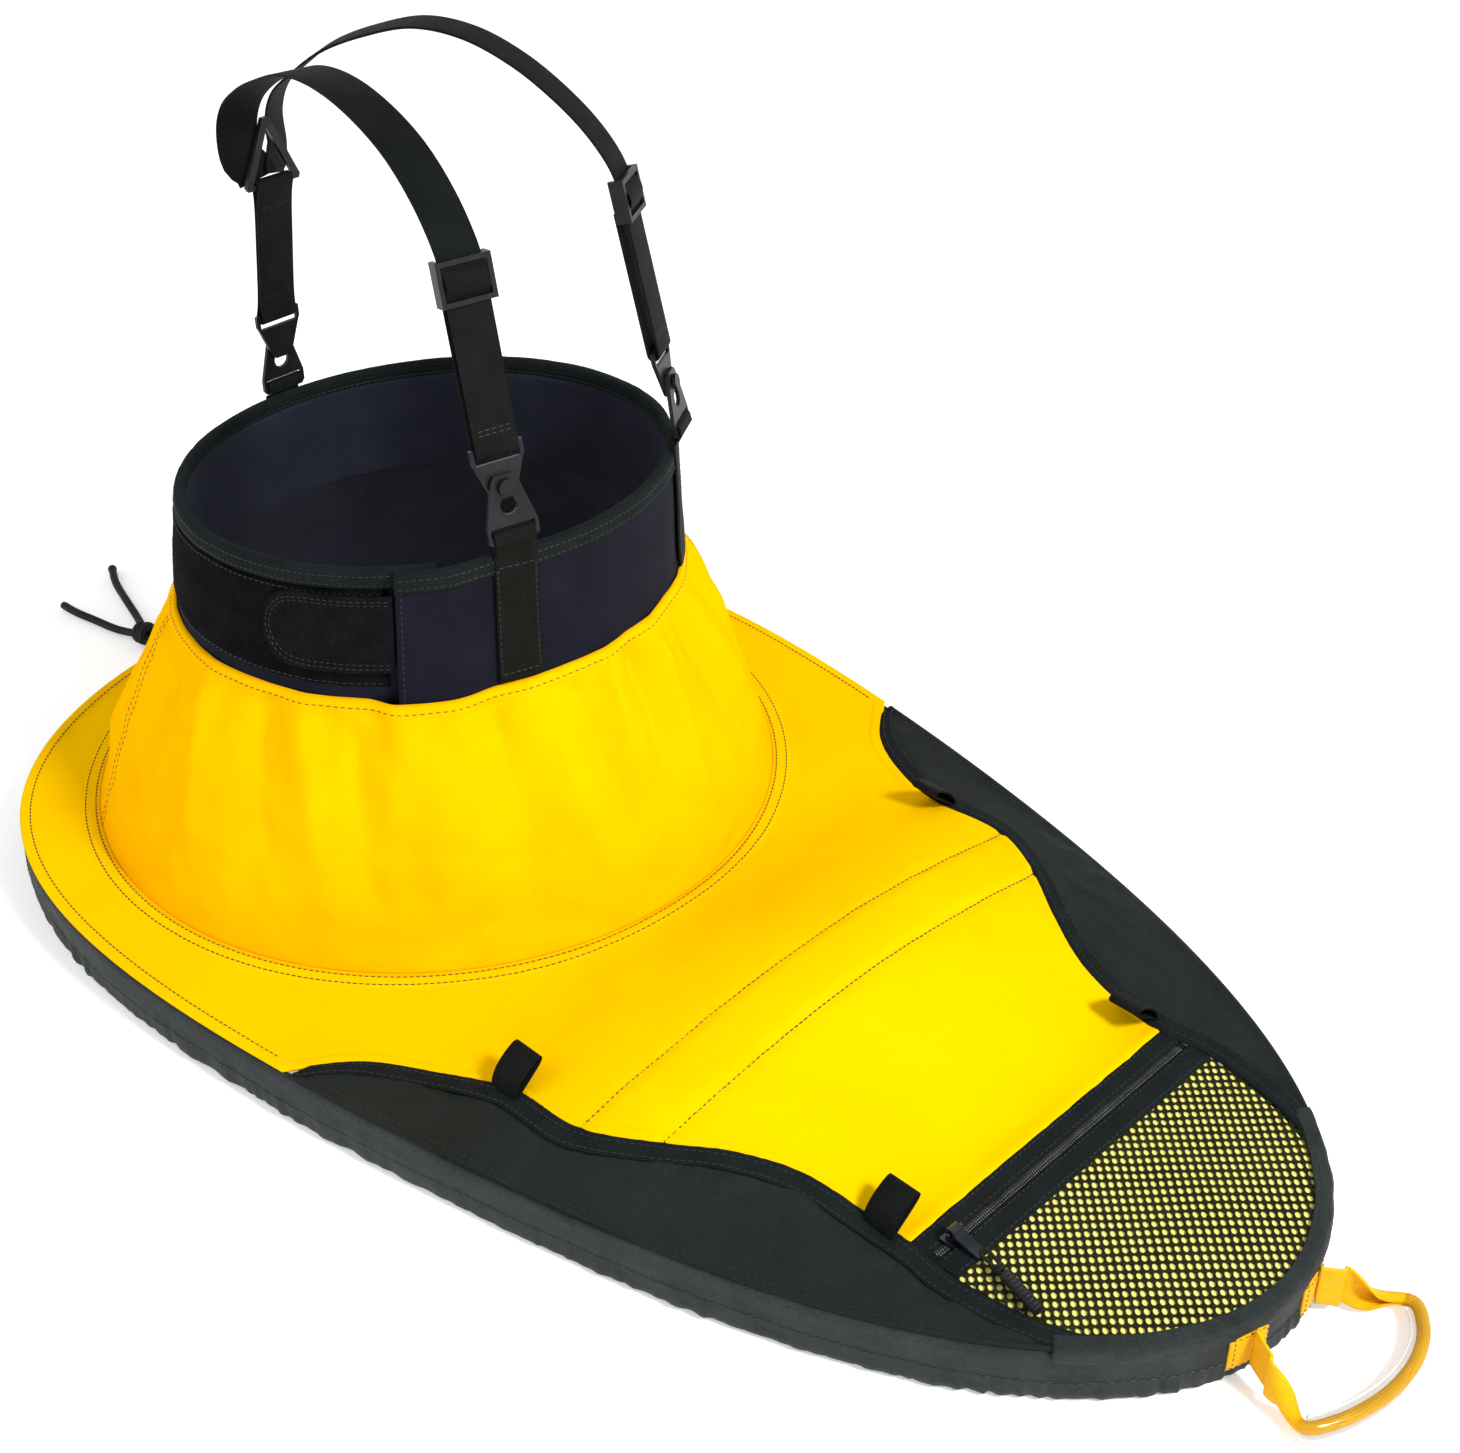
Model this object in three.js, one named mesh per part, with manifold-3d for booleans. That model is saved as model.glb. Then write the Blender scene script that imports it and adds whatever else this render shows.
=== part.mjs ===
// Kayak spray skirt with a shoulder harness, standing open on the ground.
//
// Millimetres. +X to the bow, +Y to the wearer's left, +Z up, ground at z = 0.
// The origin is on the ground, midway between the rear of the hem and the front of the grab loop.
// Names say right and left as the wearer has them: right is -Y.
import * as THREE from 'three';
import { mergeVertices } from 'three/addons/utils/BufferGeometryUtils.js';
import Module from 'manifold-3d';

const wasm = await Module();
wasm.setup();

// ---------------------------------------------------------------- driving dimensions
const SPAN = 964;            // rear of the hem to the front of the grab loop
const DECK_LENGTH = 902;     // along the hem
const DECK_MID = (DECK_LENGTH - SPAN) / 2;
const HALF = DECK_LENGTH / 2;
const BEAM = { mean: 278, taper: -87, fullness: 33, nose: -4 };   // half beam as a cosine series

const GAP = 0.3;             // left between pieces that touch
const CLOTH = 1.7;           // coated cloth with its seam allowance
const RAND_TOP = 36;         // upright band that drops over the coaming
const DECK_Z = 38;           // top of the deck cloth where it is flat
const CROWN = 34;            // rise of the deck over its bow stay
const STAY_X = 119;          // middle of the stay
const CROWN_REACH = 140;

const SHOCK_CORD = 6;        // elastic in the hem
const NOSE_SEAM = 26;        // degrees either side of the bow
const HEM_DEPTH = 12.2;

const TUNNEL_FOOT = { x: -230, a: 220, b: 217 };
const TUNNEL_TOP = { z: 190, slope: 0.02 };
const BAND_TOP = { x: -211, a: 145, b: 147, z: 266, slope: 0.0546 };
const BAND_FOOT = { x: -217, a: 151, b: 155, z: 183, slope: 0.02 };
const NEOPRENE = 3.5;
const OVERLAP_LIFT = 6.8;    // the outer end of the band rides this far out over the inner end
const OVERLAP_FROM = -45;    // degrees round the waist, 0 at the bow
const OVERLAP_TO = -35;
const BLEND_TO = -22;

const WEBBING = 25;
const WEB_T = 1.6;
const LAYER = 3.2;           // doubled webbing: each layer this far from the middle
const PLATE_T = 2.4;
const STUD_UP = 23;          // stud to the top of the stud plate
const KEY_DOWN = 30;         // stud to the foot of the keyhole plate
const STUD_S = 31;           // stud above the foot of each hook

const PULL_Y = -90;          // zip slider when the pocket is shut
const ZIP_X = 281;
const POCKET_X = 295;

// ---------------------------------------------------------------- small tools
const V = (x, y, z) => new THREE.Vector3(x, y, z);
const rad = THREE.MathUtils.degToRad;
const lerp = THREE.MathUtils.lerp;
const clamp = THREE.MathUtils.clamp;
const smooth = (x, a, b) => THREE.MathUtils.smoothstep(x, Math.min(a, b), Math.max(a, b));

function positionsOnly(geometry) {
  geometry.deleteAttribute('normal');
  geometry.deleteAttribute('uv');
  return mergeVertices(geometry, 1e-4);
}

// Faces point out when the signed volume is positive.
function facingOut(geometry) {
  const p = geometry.attributes.position;
  const index = geometry.index;
  const corner = [V(0, 0, 0), V(0, 0, 0), V(0, 0, 0)];
  let volume = 0;
  for (let i = 0; i < index.count; i += 3) {
    corner.forEach((c, k) => c.fromBufferAttribute(p, index.getX(i + k)));
    volume += corner[0].dot(corner[1].cross(corner[2]));
  }
  if (volume < 0) {
    for (let i = 0; i < index.count; i += 3) {
      const second = index.getX(i + 1);
      index.setX(i + 1, index.getX(i + 2));
      index.setX(i + 2, second);
    }
  }
  geometry.computeVertexNormals();
  return geometry;
}

// A closed geometry whose vertices are moved to place(x, y, z).
function mapped(geometry, place) {
  const body = positionsOnly(geometry);
  const p = body.attributes.position;
  const from = V(0, 0, 0);
  for (let i = 0; i < p.count; i += 1) {
    from.fromBufferAttribute(p, i);
    const to = place(from.x, from.y, from.z);
    p.setXYZ(i, to.x, to.y, to.z);
  }
  return facingOut(body);
}

// A panel: place(u, v, w) with u and v over the panel and w through its thickness, each 0 to 1.
function panel(nu, nv, place) {
  const box = new THREE.BoxGeometry(1, 1, 1, nu, nv, 1).translate(0.5, 0.5, 0.5);
  return mapped(box, place);
}

// A closed band: profile points (r, h) turned once round, sent to place(turn, r, h) with turn 0 to 1.
function turned(profile, turns, place) {
  const offset = 50;
  const points = [...profile, profile[0]].map(([r, h]) => new THREE.Vector2(r + offset, h));
  return mapped(new THREE.LatheGeometry(points, turns), (x, h, z) => {
    const turn = Math.atan2(x, z) / (2 * Math.PI);
    return place(turn < -1e-6 ? turn + 1 : Math.max(turn, 0), Math.hypot(x, z) - offset, h);
  });
}

// Profile for a cloth ring cut into n rings: r across the cloth, h through it.
function bandProfile(n) {
  const across = Array.from({ length: n + 1 }, (_, i) => i / n);
  return [...across.map((r) => [r, 0]), ...across.reverse().map((r) => [r, 1])];
}

// A flat section carried along, sent to place(x, y, t) with t 0 to 1.
function swept(section, steps, place) {
  const options = { depth: 1, steps, bevelEnabled: false, curveSegments: 6 };
  return mapped(new THREE.ExtrudeGeometry(section, options), place);
}

function outlineShape(points, holes = []) {
  const shape = new THREE.Shape(points.map(([x, y]) => new THREE.Vector2(x, y)));
  holes.forEach((hole) => shape.holes.push(hole));
  return shape;
}

function circle(x, y, r) {
  return new THREE.Path().absarc(x, y, r, 0, 2 * Math.PI, true);
}

function slot(x, y, width, height) {
  const w = width / 2;
  const h = height / 2;
  const corners = [[-w, -h], [-w, h], [w, h], [w, -h]];
  return new THREE.Path(corners.map(([a, b]) => new THREE.Vector2(x + a, y + b)));
}

// A plate cut from a section in its own x and z, thick from y = low to y = high.
function plate(section, low, high) {
  return swept(section, 1, (x, z, t) => V(x, lerp(low, high, t), z));
}

function box(low, high) {
  const side = (k, t) => lerp(low[k], high[k], t);
  return panel(1, 1, (u, v, w) => V(side(0, u), side(1, v), side(2, w)));
}

function rod(from, to, radius, sides = 10) {
  const section = new THREE.Shape().absarc(0, 0, radius, 0, 2 * Math.PI, false);
  const shape = new THREE.Shape(section.getPoints(Math.round(sides / 2) * 2).slice(0, -1));
  const axis = to.clone().sub(from).normalize();
  const across = Math.abs(axis.z) > 0.9 ? V(1, 0, 0) : V(0, 0, 1);
  const side = across.clone().cross(axis).normalize();
  const up = axis.clone().cross(side);
  return swept(shape, 1, (x, y, t) => from.clone().lerp(to, t).addScaledVector(side, x).addScaledVector(up, y));
}

const toSolid = (geometry) => new wasm.Manifold(new wasm.Mesh({
  numProp: 3,
  vertProperties: new Float32Array(geometry.attributes.position.array),
  triVerts: new Uint32Array(geometry.index.array),
}));

function fromSolid(solid) {
  const mesh = solid.getMesh();
  const geometry = new THREE.BufferGeometry();
  geometry.setAttribute('position', new THREE.BufferAttribute(new Float32Array(mesh.vertProperties), 3));
  geometry.setIndex(new THREE.BufferAttribute(new Uint32Array(mesh.triVerts), 1));
  return facingOut(geometry);
}

const joined = (...parts) => fromSolid(parts.map(toSolid).reduce((a, b) => a.add(b)));
const cut = (body, ...tools) => fromSolid(tools.map(toSolid).reduce((a, b) => a.subtract(b), toSolid(body)));

// Webbing along a list of points, its width along one fixed direction.
function webbing(points, across, width = WEBBING, thick = WEB_T) {
  const last = points.length - 1;
  const frames = points.map((point, k) => {
    const along = points[Math.min(k + 1, last)].clone().sub(points[Math.max(k - 1, 0)]).normalize();
    return { point, face: across.clone().cross(along).normalize() };
  });
  return panel(last, 1, (u, v, w) => {
    const { point, face } = frames[Math.round(u * last)];
    return point.clone().addScaledVector(across, (v - 0.5) * width).addScaledVector(face, (w - 0.5) * thick);
  });
}

// A closed loop of webbing round two bars: straight sides, half-round ends.
function racetrack(length, inner) {
  const ringAt = (r) => {
    const path = new THREE.Path();
    path.absarc(0, length, r, 0, Math.PI, false);
    path.absarc(0, 0, r, Math.PI, 2 * Math.PI, false);
    return path.getPoints(5).slice(0, -1);
  };
  const shape = new THREE.Shape(ringAt(inner + WEB_T));
  shape.holes.push(new THREE.Path(ringAt(inner)));
  return shape;
}

// ---------------------------------------------------------------- the deck's plan and height
function outline(angle, inset = 0) {
  const c = Math.cos(angle);
  const s = Math.sin(angle);
  const f = BEAM.mean + BEAM.taper * c + BEAM.fullness * Math.cos(2 * angle) + BEAM.nose * Math.cos(3 * angle);
  const df = -BEAM.taper * s - 2 * BEAM.fullness * Math.sin(2 * angle) - 3 * BEAM.nose * Math.sin(3 * angle);
  const outward = new THREE.Vector2(c * f + s * df, HALF * s).normalize();
  return new THREE.Vector2(DECK_MID + HALF * c, s * f).addScaledVector(outward, -inset);
}

const angleAt = (x) => Math.acos(clamp((x - DECK_MID) / HALF, -1, 1));
const halfWidth = (x) => outline(angleAt(x)).y;

function deckZ(x, y) {
  const along = clamp(Math.abs(x - STAY_X) / CROWN_REACH, 0, 1);
  const across = clamp(Math.abs(y) / Math.max(halfWidth(x), 1), 0, 1);
  return DECK_Z + CROWN * (1 - along * along) ** 2 * (1 - across * across);
}

// Seam between the deck cloth and a side panel, from the hem forward to the nose, left side.
const SEAM = [
  [-60.5, 249.5], [-33, 215], [5, 193], [47, 178], [97, 176], [139, 155.6],
  [173, 132], [208, 114.5], [267, 107.5], [295, 110], [341, 103], [384, 86],
];
const AT_ZIP = 8 / 11;
const AT_POCKET = 9 / 11;
const seamCurve = new THREE.CatmullRomCurve3(SEAM.map(([x, y]) => V(x, y, 0)));

function ellipse(foot, angle, out = 0) {
  return new THREE.Vector2(foot.x + (foot.a + out) * Math.cos(angle), (foot.b + out) * Math.sin(angle));
}

// ---------------------------------------------------------------- deck pieces
function deckPanel() {
  const half = [];
  const steps = { zip: 6, seam: 16, hem: 22 };
  for (let i = 0; i < steps.zip; i += 1) half.push(V(267, (107.5 * i) / steps.zip, 0));
  for (let i = 0; i < steps.seam; i += 1) half.push(seamCurve.getPoint(AT_ZIP * (1 - i / steps.seam)));
  const start = angleAt(SEAM[0][0]);
  for (let i = 0; i <= steps.hem; i += 1) {
    const p = outline(lerp(start, Math.PI, i / steps.hem));
    half.push(V(p.x, p.y, 0));
  }
  const edge = [...half, ...half.slice(1, -1).reverse().map((p) => V(p.x, -p.y, 0))];
  return turned(bandProfile(7), edge.length, (turn, s, w) => {
    const outer = edge[Math.round(turn * edge.length) % edge.length];
    const angle = Math.atan2(outer.y, outer.x - TUNNEL_FOOT.x);
    const inner = ellipse(TUNNEL_FOOT, angle, 0.4);
    const x = lerp(inner.x, outer.x, s);
    const y = lerp(inner.y, outer.y, s);
    return V(x, y, deckZ(x, y) - CLOTH * (1 - w));
  });
}

function sidePanel(side) {
  return panel(34, 3, (u, v, w) => {
    const seam = seamCurve.getPoint(lerp(0.022, 0.965, u));
    const y = lerp(seam.y + 1, halfWidth(seam.x), v);
    return V(seam.x, side * y, deckZ(seam.x, y) - CLOTH * (1 - w));
  });
}

// Tape sewn over the panel's seam.
function seamBinding(side) {
  const width = 12;
  return panel(34, 1, (u, v, w) => {
    const seam = seamCurve.getPoint(lerp(0.03, 0.955, u));
    const room = halfWidth(seam.x) - seam.y - 0.6;
    const y = seam.y + 0.6 + v * Math.min(width, room);
    return V(seam.x, side * y, deckZ(seam.x, y) + GAP + w);
  });
}

// A panel that fills the nose from a straight rear edge to the hem, between the two seams.
function nosePanel(rearX, fromSeam, inset, low, high) {
  const n = 12;
  const corner = angleAt(seamCurve.getPoint(0.965).x + 1.5);
  const side = (u) => {
    if (u === 1) return outline(corner, inset);
    const seam = seamCurve.getPoint(lerp(fromSeam, 0.965, (u * n) / (n - 1)));
    return new THREE.Vector2(Math.max(seam.x, rearX), seam.y - 0.5 - inset * u);
  };
  const [rear, front] = [side(0), side(1)];
  return panel(n, n, (u, v, w) => {
    const across = 2 * v - 1;
    const edge = side(u);
    const arc = outline(corner * across, inset);
    const x = edge.x + u * (arc.x - front.x);
    const y = across * (edge.y - lerp(rear.y, front.y, u)) + lerp(rear.y * across, arc.y, u);
    return V(x, y, deckZ(x, y) + lerp(low, high, w));
  });
}

function staySleeve() {
  return panel(24, 4, (u, v, w) => {
    const y = lerp(-152, 152, u);
    const x = STAY_X + lerp(-21, 21, v);
    const belly = 4 * Math.sin(Math.PI * v) ** 0.6;
    return V(x, y, deckZ(x, y) - CLOTH - 2 - belly - 1.2 * (1 - w));
  });
}

function deckStay() {
  return panel(24, 1, (u, v, w) => {
    const y = lerp(-146, 146, u);
    const x = STAY_X + lerp(-9, 9, v);
    return V(x, y, deckZ(x, y) - CLOTH - 2.1 - 2 * (1 - w));
  });
}

// The hem: an upright wall whose foot is folded in and up round the elastic.
const HEM_SECTION = [
  [0, RAND_TOP], [0, 6], [-1, 2.2], [-4, 0], [-8, 0], [-10.6, 1.8], [-11.6, 5], [-10.8, 9.4],
  [-8.4, 11.8], [-3.2, HEM_DEPTH], [-3.2, 10.6], [-7.4, 10.2], [-9.2, 8.2], [-9.8, 5.4], [-8.6, 2.9],
  [-4.4, 1.9], [-2.4, 3.4], [-2, 6.4], [-2, RAND_TOP],
];

function rand(fromDegrees, toDegrees, steps) {
  return swept(outlineShape(HEM_SECTION), steps, (n, z, t) => {
    const p = outline(rad(lerp(fromDegrees, toDegrees, t)), -n);
    return V(p.x, p.y, z);
  });
}

// ---------------------------------------------------------------- free ends of the hem elastic
const KNOT = V(-547, -25, 8.6);
const CORD_Z = 6.2;
const CORD_ANGLE = 176;
const hemEnd = outline(rad(CORD_ANGLE), 5.9);
const LEADS = {
  left: [[hemEnd.x - 0.6, hemEnd.y - 1.2], [-479.2, 18], [-487, 8], [-500, -2], [-516, -10], [-531, -17]],
  right: [[hemEnd.x - 0.6, 1.2 - hemEnd.y], [-478.2, -19], [-486, -14.6], [-498, -15], [-514, -19.6], [-531, -26]],
};
const TAILS = {
  left: [[-556.5, -20.8, 6.2], [-580, -12.5, 3.8], [-610, -3.6, 3.3], [-637, 5, 3.2], [-657, 14.6, 3.2]],
  right: [[-556.5, -28.6, 6], [-575, -33, 3.8], [-600, -37, 3.3], [-620, -40.4, 3.2], [-636, -41.4, 3.2]],
};

function cord(points, steps) {
  const curve = new THREE.CatmullRomCurve3(points.map(([x, y, z = 5.4]) => V(x, y, z)));
  const section = new THREE.Shape(new THREE.Shape().absarc(0, 0, SHOCK_CORD / 2, 0, 2 * Math.PI, false)
    .getPoints(4).slice(0, -1));
  const options = { steps, bevelEnabled: false, extrudePath: curve };
  return facingOut(positionsOnly(new THREE.ExtrudeGeometry(section, options)));
}

function hemCord() {
  const sides = 8;
  const profile = [];
  for (let i = 0; i < sides; i += 1) {
    const a = (2 * Math.PI * i) / sides;
    profile.push(new THREE.Vector2((SHOCK_CORD / 2) * Math.cos(a), (SHOCK_CORD / 2) * Math.sin(a)));
  }
  return swept(new THREE.Shape(profile), 84, (n, h, t) => {
    const p = outline(rad(lerp(-CORD_ANGLE, CORD_ANGLE, t)), 5.9 - n);
    return V(p.x, p.y, CORD_Z + h);
  });
}

// An overhand knot, drawn as the lump that it makes.
function knot() {
  const lump = new THREE.SphereGeometry(1, 12, 8);
  return mapped(lump, (x, y, z) => V(KNOT.x + 9 * x, KNOT.y + 10 * y, KNOT.z + 8.2 * z));
}

// ---------------------------------------------------------------- tunnel and waistband
// How far the band's outer face stands out of its base ellipse, at an angle in degrees from the bow.
function bandLift(degrees) {
  if (degrees < OVERLAP_TO) return OVERLAP_LIFT;
  return OVERLAP_LIFT * (1 - smooth(degrees, OVERLAP_TO, BLEND_TO));
}

const bandRing = (h) => ({
  x: lerp(BAND_FOOT.x, BAND_TOP.x, h),
  a: lerp(BAND_FOOT.a, BAND_TOP.a, h),
  b: lerp(BAND_FOOT.b, BAND_TOP.b, h),
});

function bandHeight(h, x) {
  const foot = BAND_FOOT.z + BAND_FOOT.slope * (x - BAND_FOOT.x);
  const top = BAND_TOP.z + BAND_TOP.slope * (x - BAND_TOP.x);
  return lerp(foot, top, h);
}

// A point by the band: degrees round the waist, h from foot 0 to top 1, out from the outer face.
function onBand(degrees, h, out, lift = 0) {
  const p = ellipse(bandRing(h), rad(degrees), lift + out);
  return V(p.x, p.y, bandHeight(h, p.x));
}

// The strip starts at its outer end, runs once round by the bow and ends under its own start.
const BAND_FROM = OVERLAP_FROM;
const BAND_TO = 360 + OVERLAP_TO - 1.5;

const alongBand = (degrees, h, out, up = 0) => onBand(
  degrees,
  h + up / (BAND_TOP.z - BAND_FOOT.z),
  out,
  degrees < 180 ? bandLift(degrees) : 0,
);

function waistband() {
  return panel(72, 1, (u, v, w) => alongBand(lerp(BAND_FROM, BAND_TO, u), v, NEOPRENE * (w - 1)));
}

function topBinding() {
  const section = outlineShape([
    [-4.8, -9], [-4.8, 1.3], [1.3, 1.3], [1.3, -9], [0.3, -9], [0.3, 0.3], [-3.8, 0.3], [-3.8, -9],
  ]);
  return swept(section, 72, (out, up, t) => alongBand(lerp(BAND_FROM, BAND_TO, t), 1, out, up));
}

function tunnel() {
  const turns = 72;
  return turned(bandProfile(5), turns, (turn, s, w) => {
    const degrees = Math.round(turn * turns) * (360 / turns);
    const signed = degrees > 180 ? degrees - 360 : degrees;
    const lift = OVERLAP_LIFT * smooth(signed, -50, OVERLAP_FROM) * (1 - smooth(signed, OVERLAP_TO, BLEND_TO));
    const foot = ellipse(TUNNEL_FOOT, rad(degrees), -CLOTH);
    const brim = ellipse(bandRing(0.08), rad(degrees), 0.6 + lift);
    const out = 5 * Math.sin(Math.PI * s) + CLOTH * w;
    const x = lerp(foot.x, brim.x, s) + out * Math.cos(rad(degrees));
    const y = lerp(foot.y, brim.y, s) + out * Math.sin(rad(degrees));
    const top = TUNNEL_TOP.z + TUNNEL_TOP.slope * (x - BAND_FOOT.x);
    return V(x, y, lerp(DECK_Z - CLOTH, top, s));
  });
}

function loopField() {
  return panel(34, 1, (u, v, w) => alongBand(lerp(192, 313, u), lerp(0.17, 0.88, v), GAP + 1.9 * w));
}

// Hook tab: its root is at the band's outer end, and its free end is rounded.
const TAB_ROOT = 314.4;
function waistTab() {
  return panel(14, 6, (u, v, w) => {
    const round = Math.sqrt(Math.max(1 - (Math.max(u - 0.72, 0) / 0.3) ** 2, 0));
    const h = 0.58 + (v - 0.5) * 0.56 * round;
    return alongBand(TAB_ROOT - 30 * u, h, lerp(2.7, 5.2, w) + 1.5 * (1 - u));
  });
}

// Webbing sewn flat to the band's outer face under a hook.
function anchorTape(degrees, from, rise) {
  const spread = THREE.MathUtils.radToDeg(WEBBING / 2 / BAND_TOP.b);
  return panel(3, 3, (u, v, w) => {
    const along = lerp(degrees - spread, degrees + spread, u);
    return alongBand(along, lerp(from, 1, v), 1.7 + 1.5 * w, v === 1 ? rise : 0);
  });
}

// ---------------------------------------------------------------- hooks and harness
// A hook's own frame: x across the webbing, y out from the body, z up along the webbing.
function hookFrame(foot, head, acrossDegrees) {
  const up = head.clone().sub(foot).normalize();
  const across = V(Math.cos(rad(acrossDegrees)), Math.sin(rad(acrossDegrees)), 0);
  const out = across.clone().cross(up).normalize();
  return new THREE.Matrix4().makeBasis(up.clone().cross(out).negate(), out, up).setPosition(foot);
}

const HOOKS = {
  right: { foot: V(-73.5, -50, 282), head: V(-104.5, -46, 426), across: 74 },
  left: { foot: V(-101, 101.5, 282), head: V(-130.5, 90, 430), across: 122 },
  rear: { foot: V(-351, 0, 262), head: V(-351, 0, 402), across: -90 },
};
Object.values(HOOKS).forEach((hook) => {
  hook.frame = hookFrame(hook.foot, hook.head, hook.across);
});

const inFrame = (geometry, frame) => {
  geometry.applyMatrix4(frame);
  return facingOut(geometry);
};

const BAR_S = STUD_S + STUD_UP - 1.6;      // middle of the stud plate's top bar

// Stud plate: narrow at the stud, wide at the webbing slot. The head stands clear of the keyhole plate.
function studPlate(withHead) {
  const foot = STUD_S - 7;
  const top = STUD_S + STUD_UP;
  const shape = outlineShape(
    [[-7, foot + 1.5], [-5, foot], [5, foot], [7, foot + 1.5], [14.5, top - 9], [15.5, top - 7], [15.5, top],
      [-15.5, top], [-15.5, top - 7], [-14.5, top - 9]],
    [slot(0, top - 6, 26.4, 5.8)],
  );
  const body = plate(shape, -PLATE_T / 2, PLATE_T / 2);
  if (!withHead) return body;
  const neck = rod(V(0, 0, STUD_S), V(0, 5, STUD_S), 2.2);
  const head = rod(V(0, 4.6, STUD_S), V(0, 6.6, STUD_S), 4.6, 14);
  return joined(body, neck, head);
}

// Keyhole plate: webbing slot at its foot, a wide hole and a narrow one above it for the stud.
function keyholePlate() {
  const foot = STUD_S - KEY_DOWN;
  const top = STUD_S + 7;
  const shape = outlineShape(
    [[-13.5, foot], [13.5, foot], [15, foot + 2], [15, foot + 9], [7.5, top - 2], [5.5, top], [-5.5, top],
      [-7.5, top - 2], [-15, foot + 9], [-15, foot + 2]],
    [slot(0, foot + 6.6, 26, 4.4), circle(0, STUD_S - 10, 5.2), circle(0, STUD_S, 2.8)],
  );
  return plate(shape, PLATE_T / 2 + 0.4, PLATE_T / 2 + 0.4 + PLATE_T);
}

// Short webbing folded over the keyhole plate's foot bar, open below where it meets the band.
function anchorLoop() {
  const middle = PLATE_T / 2 + 0.4 + PLATE_T / 2;
  const inner = PLATE_T / 2 + 0.5;
  const barTop = STUD_S - KEY_DOWN + 4.6;
  const outer = inner + 1.3;
  const shape = outlineShape([
    [middle - outer, 1.2], [middle - outer, barTop + 0.6], [middle - inner, barTop + 2.2],
    [middle + inner, barTop + 2.2], [middle + outer, barTop + 0.6], [middle + outer, 1.2],
    [middle + inner, 1.2], [middle + inner, barTop + 0.5], [middle - inner, barTop + 0.5], [middle - inner, 1.2],
  ]);
  return swept(shape, 1, (y, z, t) => V(lerp(-12.4, 12.4, t), y, z));
}

// Shoulder webbing: up the inner layer, round the stud plate's bar, up the outer layer and over the shoulder.
const SHOULDERS = {
  right: [
    [-106.4, -46, 437], [-124, -43, 457], [-151, -39, 476], [-186, -34.6, 489], [-222, -29.8, 494],
    [-256, -25, 491], [-288, -20.5, 480], [-314, -17, 468], [-334, -15.4, 453], [-343.5, -14.5, 436], [-343, -14, 417],
  ],
  left: [
    [-133, 89.4, 441], [-146, 85, 458], [-164, 77.8, 475], [-186, 69.4, 490], [-214, 59.6, 501],
    [-244, 48.8, 503.4], [-275, 37, 495], [-302, 27, 483], [-323, 20.4, 468], [-340, 16, 453], [-347.5, 14.5, 436],
    [-347, 14, 417],
  ],
};
const DOUBLED = 150;          // top of the doubled stretch, from the foot of the hook

function shoulderStrap(side) {
  const { frame } = HOOKS[side];
  const low = BAR_S;
  const at = (y, z) => V(0, y, z).applyMatrix4(frame);
  const points = [];
  for (let i = 0; i <= 3; i += 1) points.push(at(-LAYER, lerp(DOUBLED - 14, low, i / 3)));
  for (let i = 1; i < 8; i += 1) {
    const a = Math.PI * (1 + i / 8);
    points.push(at(LAYER * Math.cos(a), low + LAYER * Math.sin(a)));
  }
  for (let i = 0; i <= 3; i += 1) points.push(at(LAYER, lerp(low, DOUBLED - 4, i / 3)));
  const rest = new THREE.CatmullRomCurve3([points.at(-1), ...SHOULDERS[side].map((p) => V(...p))]);
  points.push(...rest.getSpacedPoints(24).slice(1));
  const across = V(1, 0, 0).transformDirection(frame);
  return webbing(points, across);
}

// Adjuster buckle: the middle bar is between the two layers, the end bars are outside the outer one.
const ADJUST_S = 143;
const ADJUST = { halfWidth: 15.6, armIn: 13, halfHeight: 12, barAt: 10.6, bar: 1.4 };
function adjuster() {
  const { halfWidth, armIn, halfHeight, barAt, bar } = ADJUST;
  const outside = LAYER + WEB_T / 2 + 0.5;
  const front = outside + 2.4;
  const frontBars = [-barAt, barAt].map((z) => box(
    [-halfWidth, outside, ADJUST_S + z - bar],
    [halfWidth, front, ADJUST_S + z + bar],
  ));
  const arms = [-1, 1].map((s) => box(
    [Math.min(s * armIn, s * halfWidth), -1.9, ADJUST_S - halfHeight],
    [Math.max(s * armIn, s * halfWidth), front, ADJUST_S + halfHeight],
  ));
  const middle = box([-armIn - 1, -1.9, ADJUST_S - 1.8], [armIn + 1, 1.7, ADJUST_S + 1.8]);
  return joined(...arms, ...frontBars, middle);
}

const RING_BAR = V(-336, 0, 402);

// Three-sided ring: the back strap hangs on its lower bar, the shoulder straps end on its slopes.
function harnessRing() {
  const shape = outlineShape(
    [[-18, -1.5], [18, -1.5], [19, 1], [2.4, 39], [-2.4, 39], [-19, 1]],
    [new THREE.Path([[-14, 1.5], [0, 33], [14, 1.5]].map(([x, y]) => new THREE.Vector2(x, y)))],
  );
  return swept(shape, 1, (y, z, t) => V(RING_BAR.x + lerp(-1.5, 1.5, t), y, RING_BAR.z + z));
}

const REAR_BAR = V(0, 0, BAR_S).applyMatrix4(HOOKS.rear.frame);

function backStrap() {
  const along = RING_BAR.clone().sub(REAR_BAR);
  const length = along.length();
  const up = along.normalize();
  const out = up.clone().cross(V(0, 1, 0));
  return swept(racetrack(length, 2.4), 1, (a, s, t) => REAR_BAR.clone()
    .addScaledVector(out, a).addScaledVector(up, s).add(V(0, lerp(-12.5, 12.5, t), 0)));
}

// ---------------------------------------------------------------- pocket zip
function zipTape(fromX, toX, halfY) {
  return panel(1, 8, (u, v, w) => {
    const x = lerp(fromX, toX, u);
    return V(x, lerp(-halfY, halfY, v), DECK_Z - CLOTH * (1 - w));
  });
}

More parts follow.
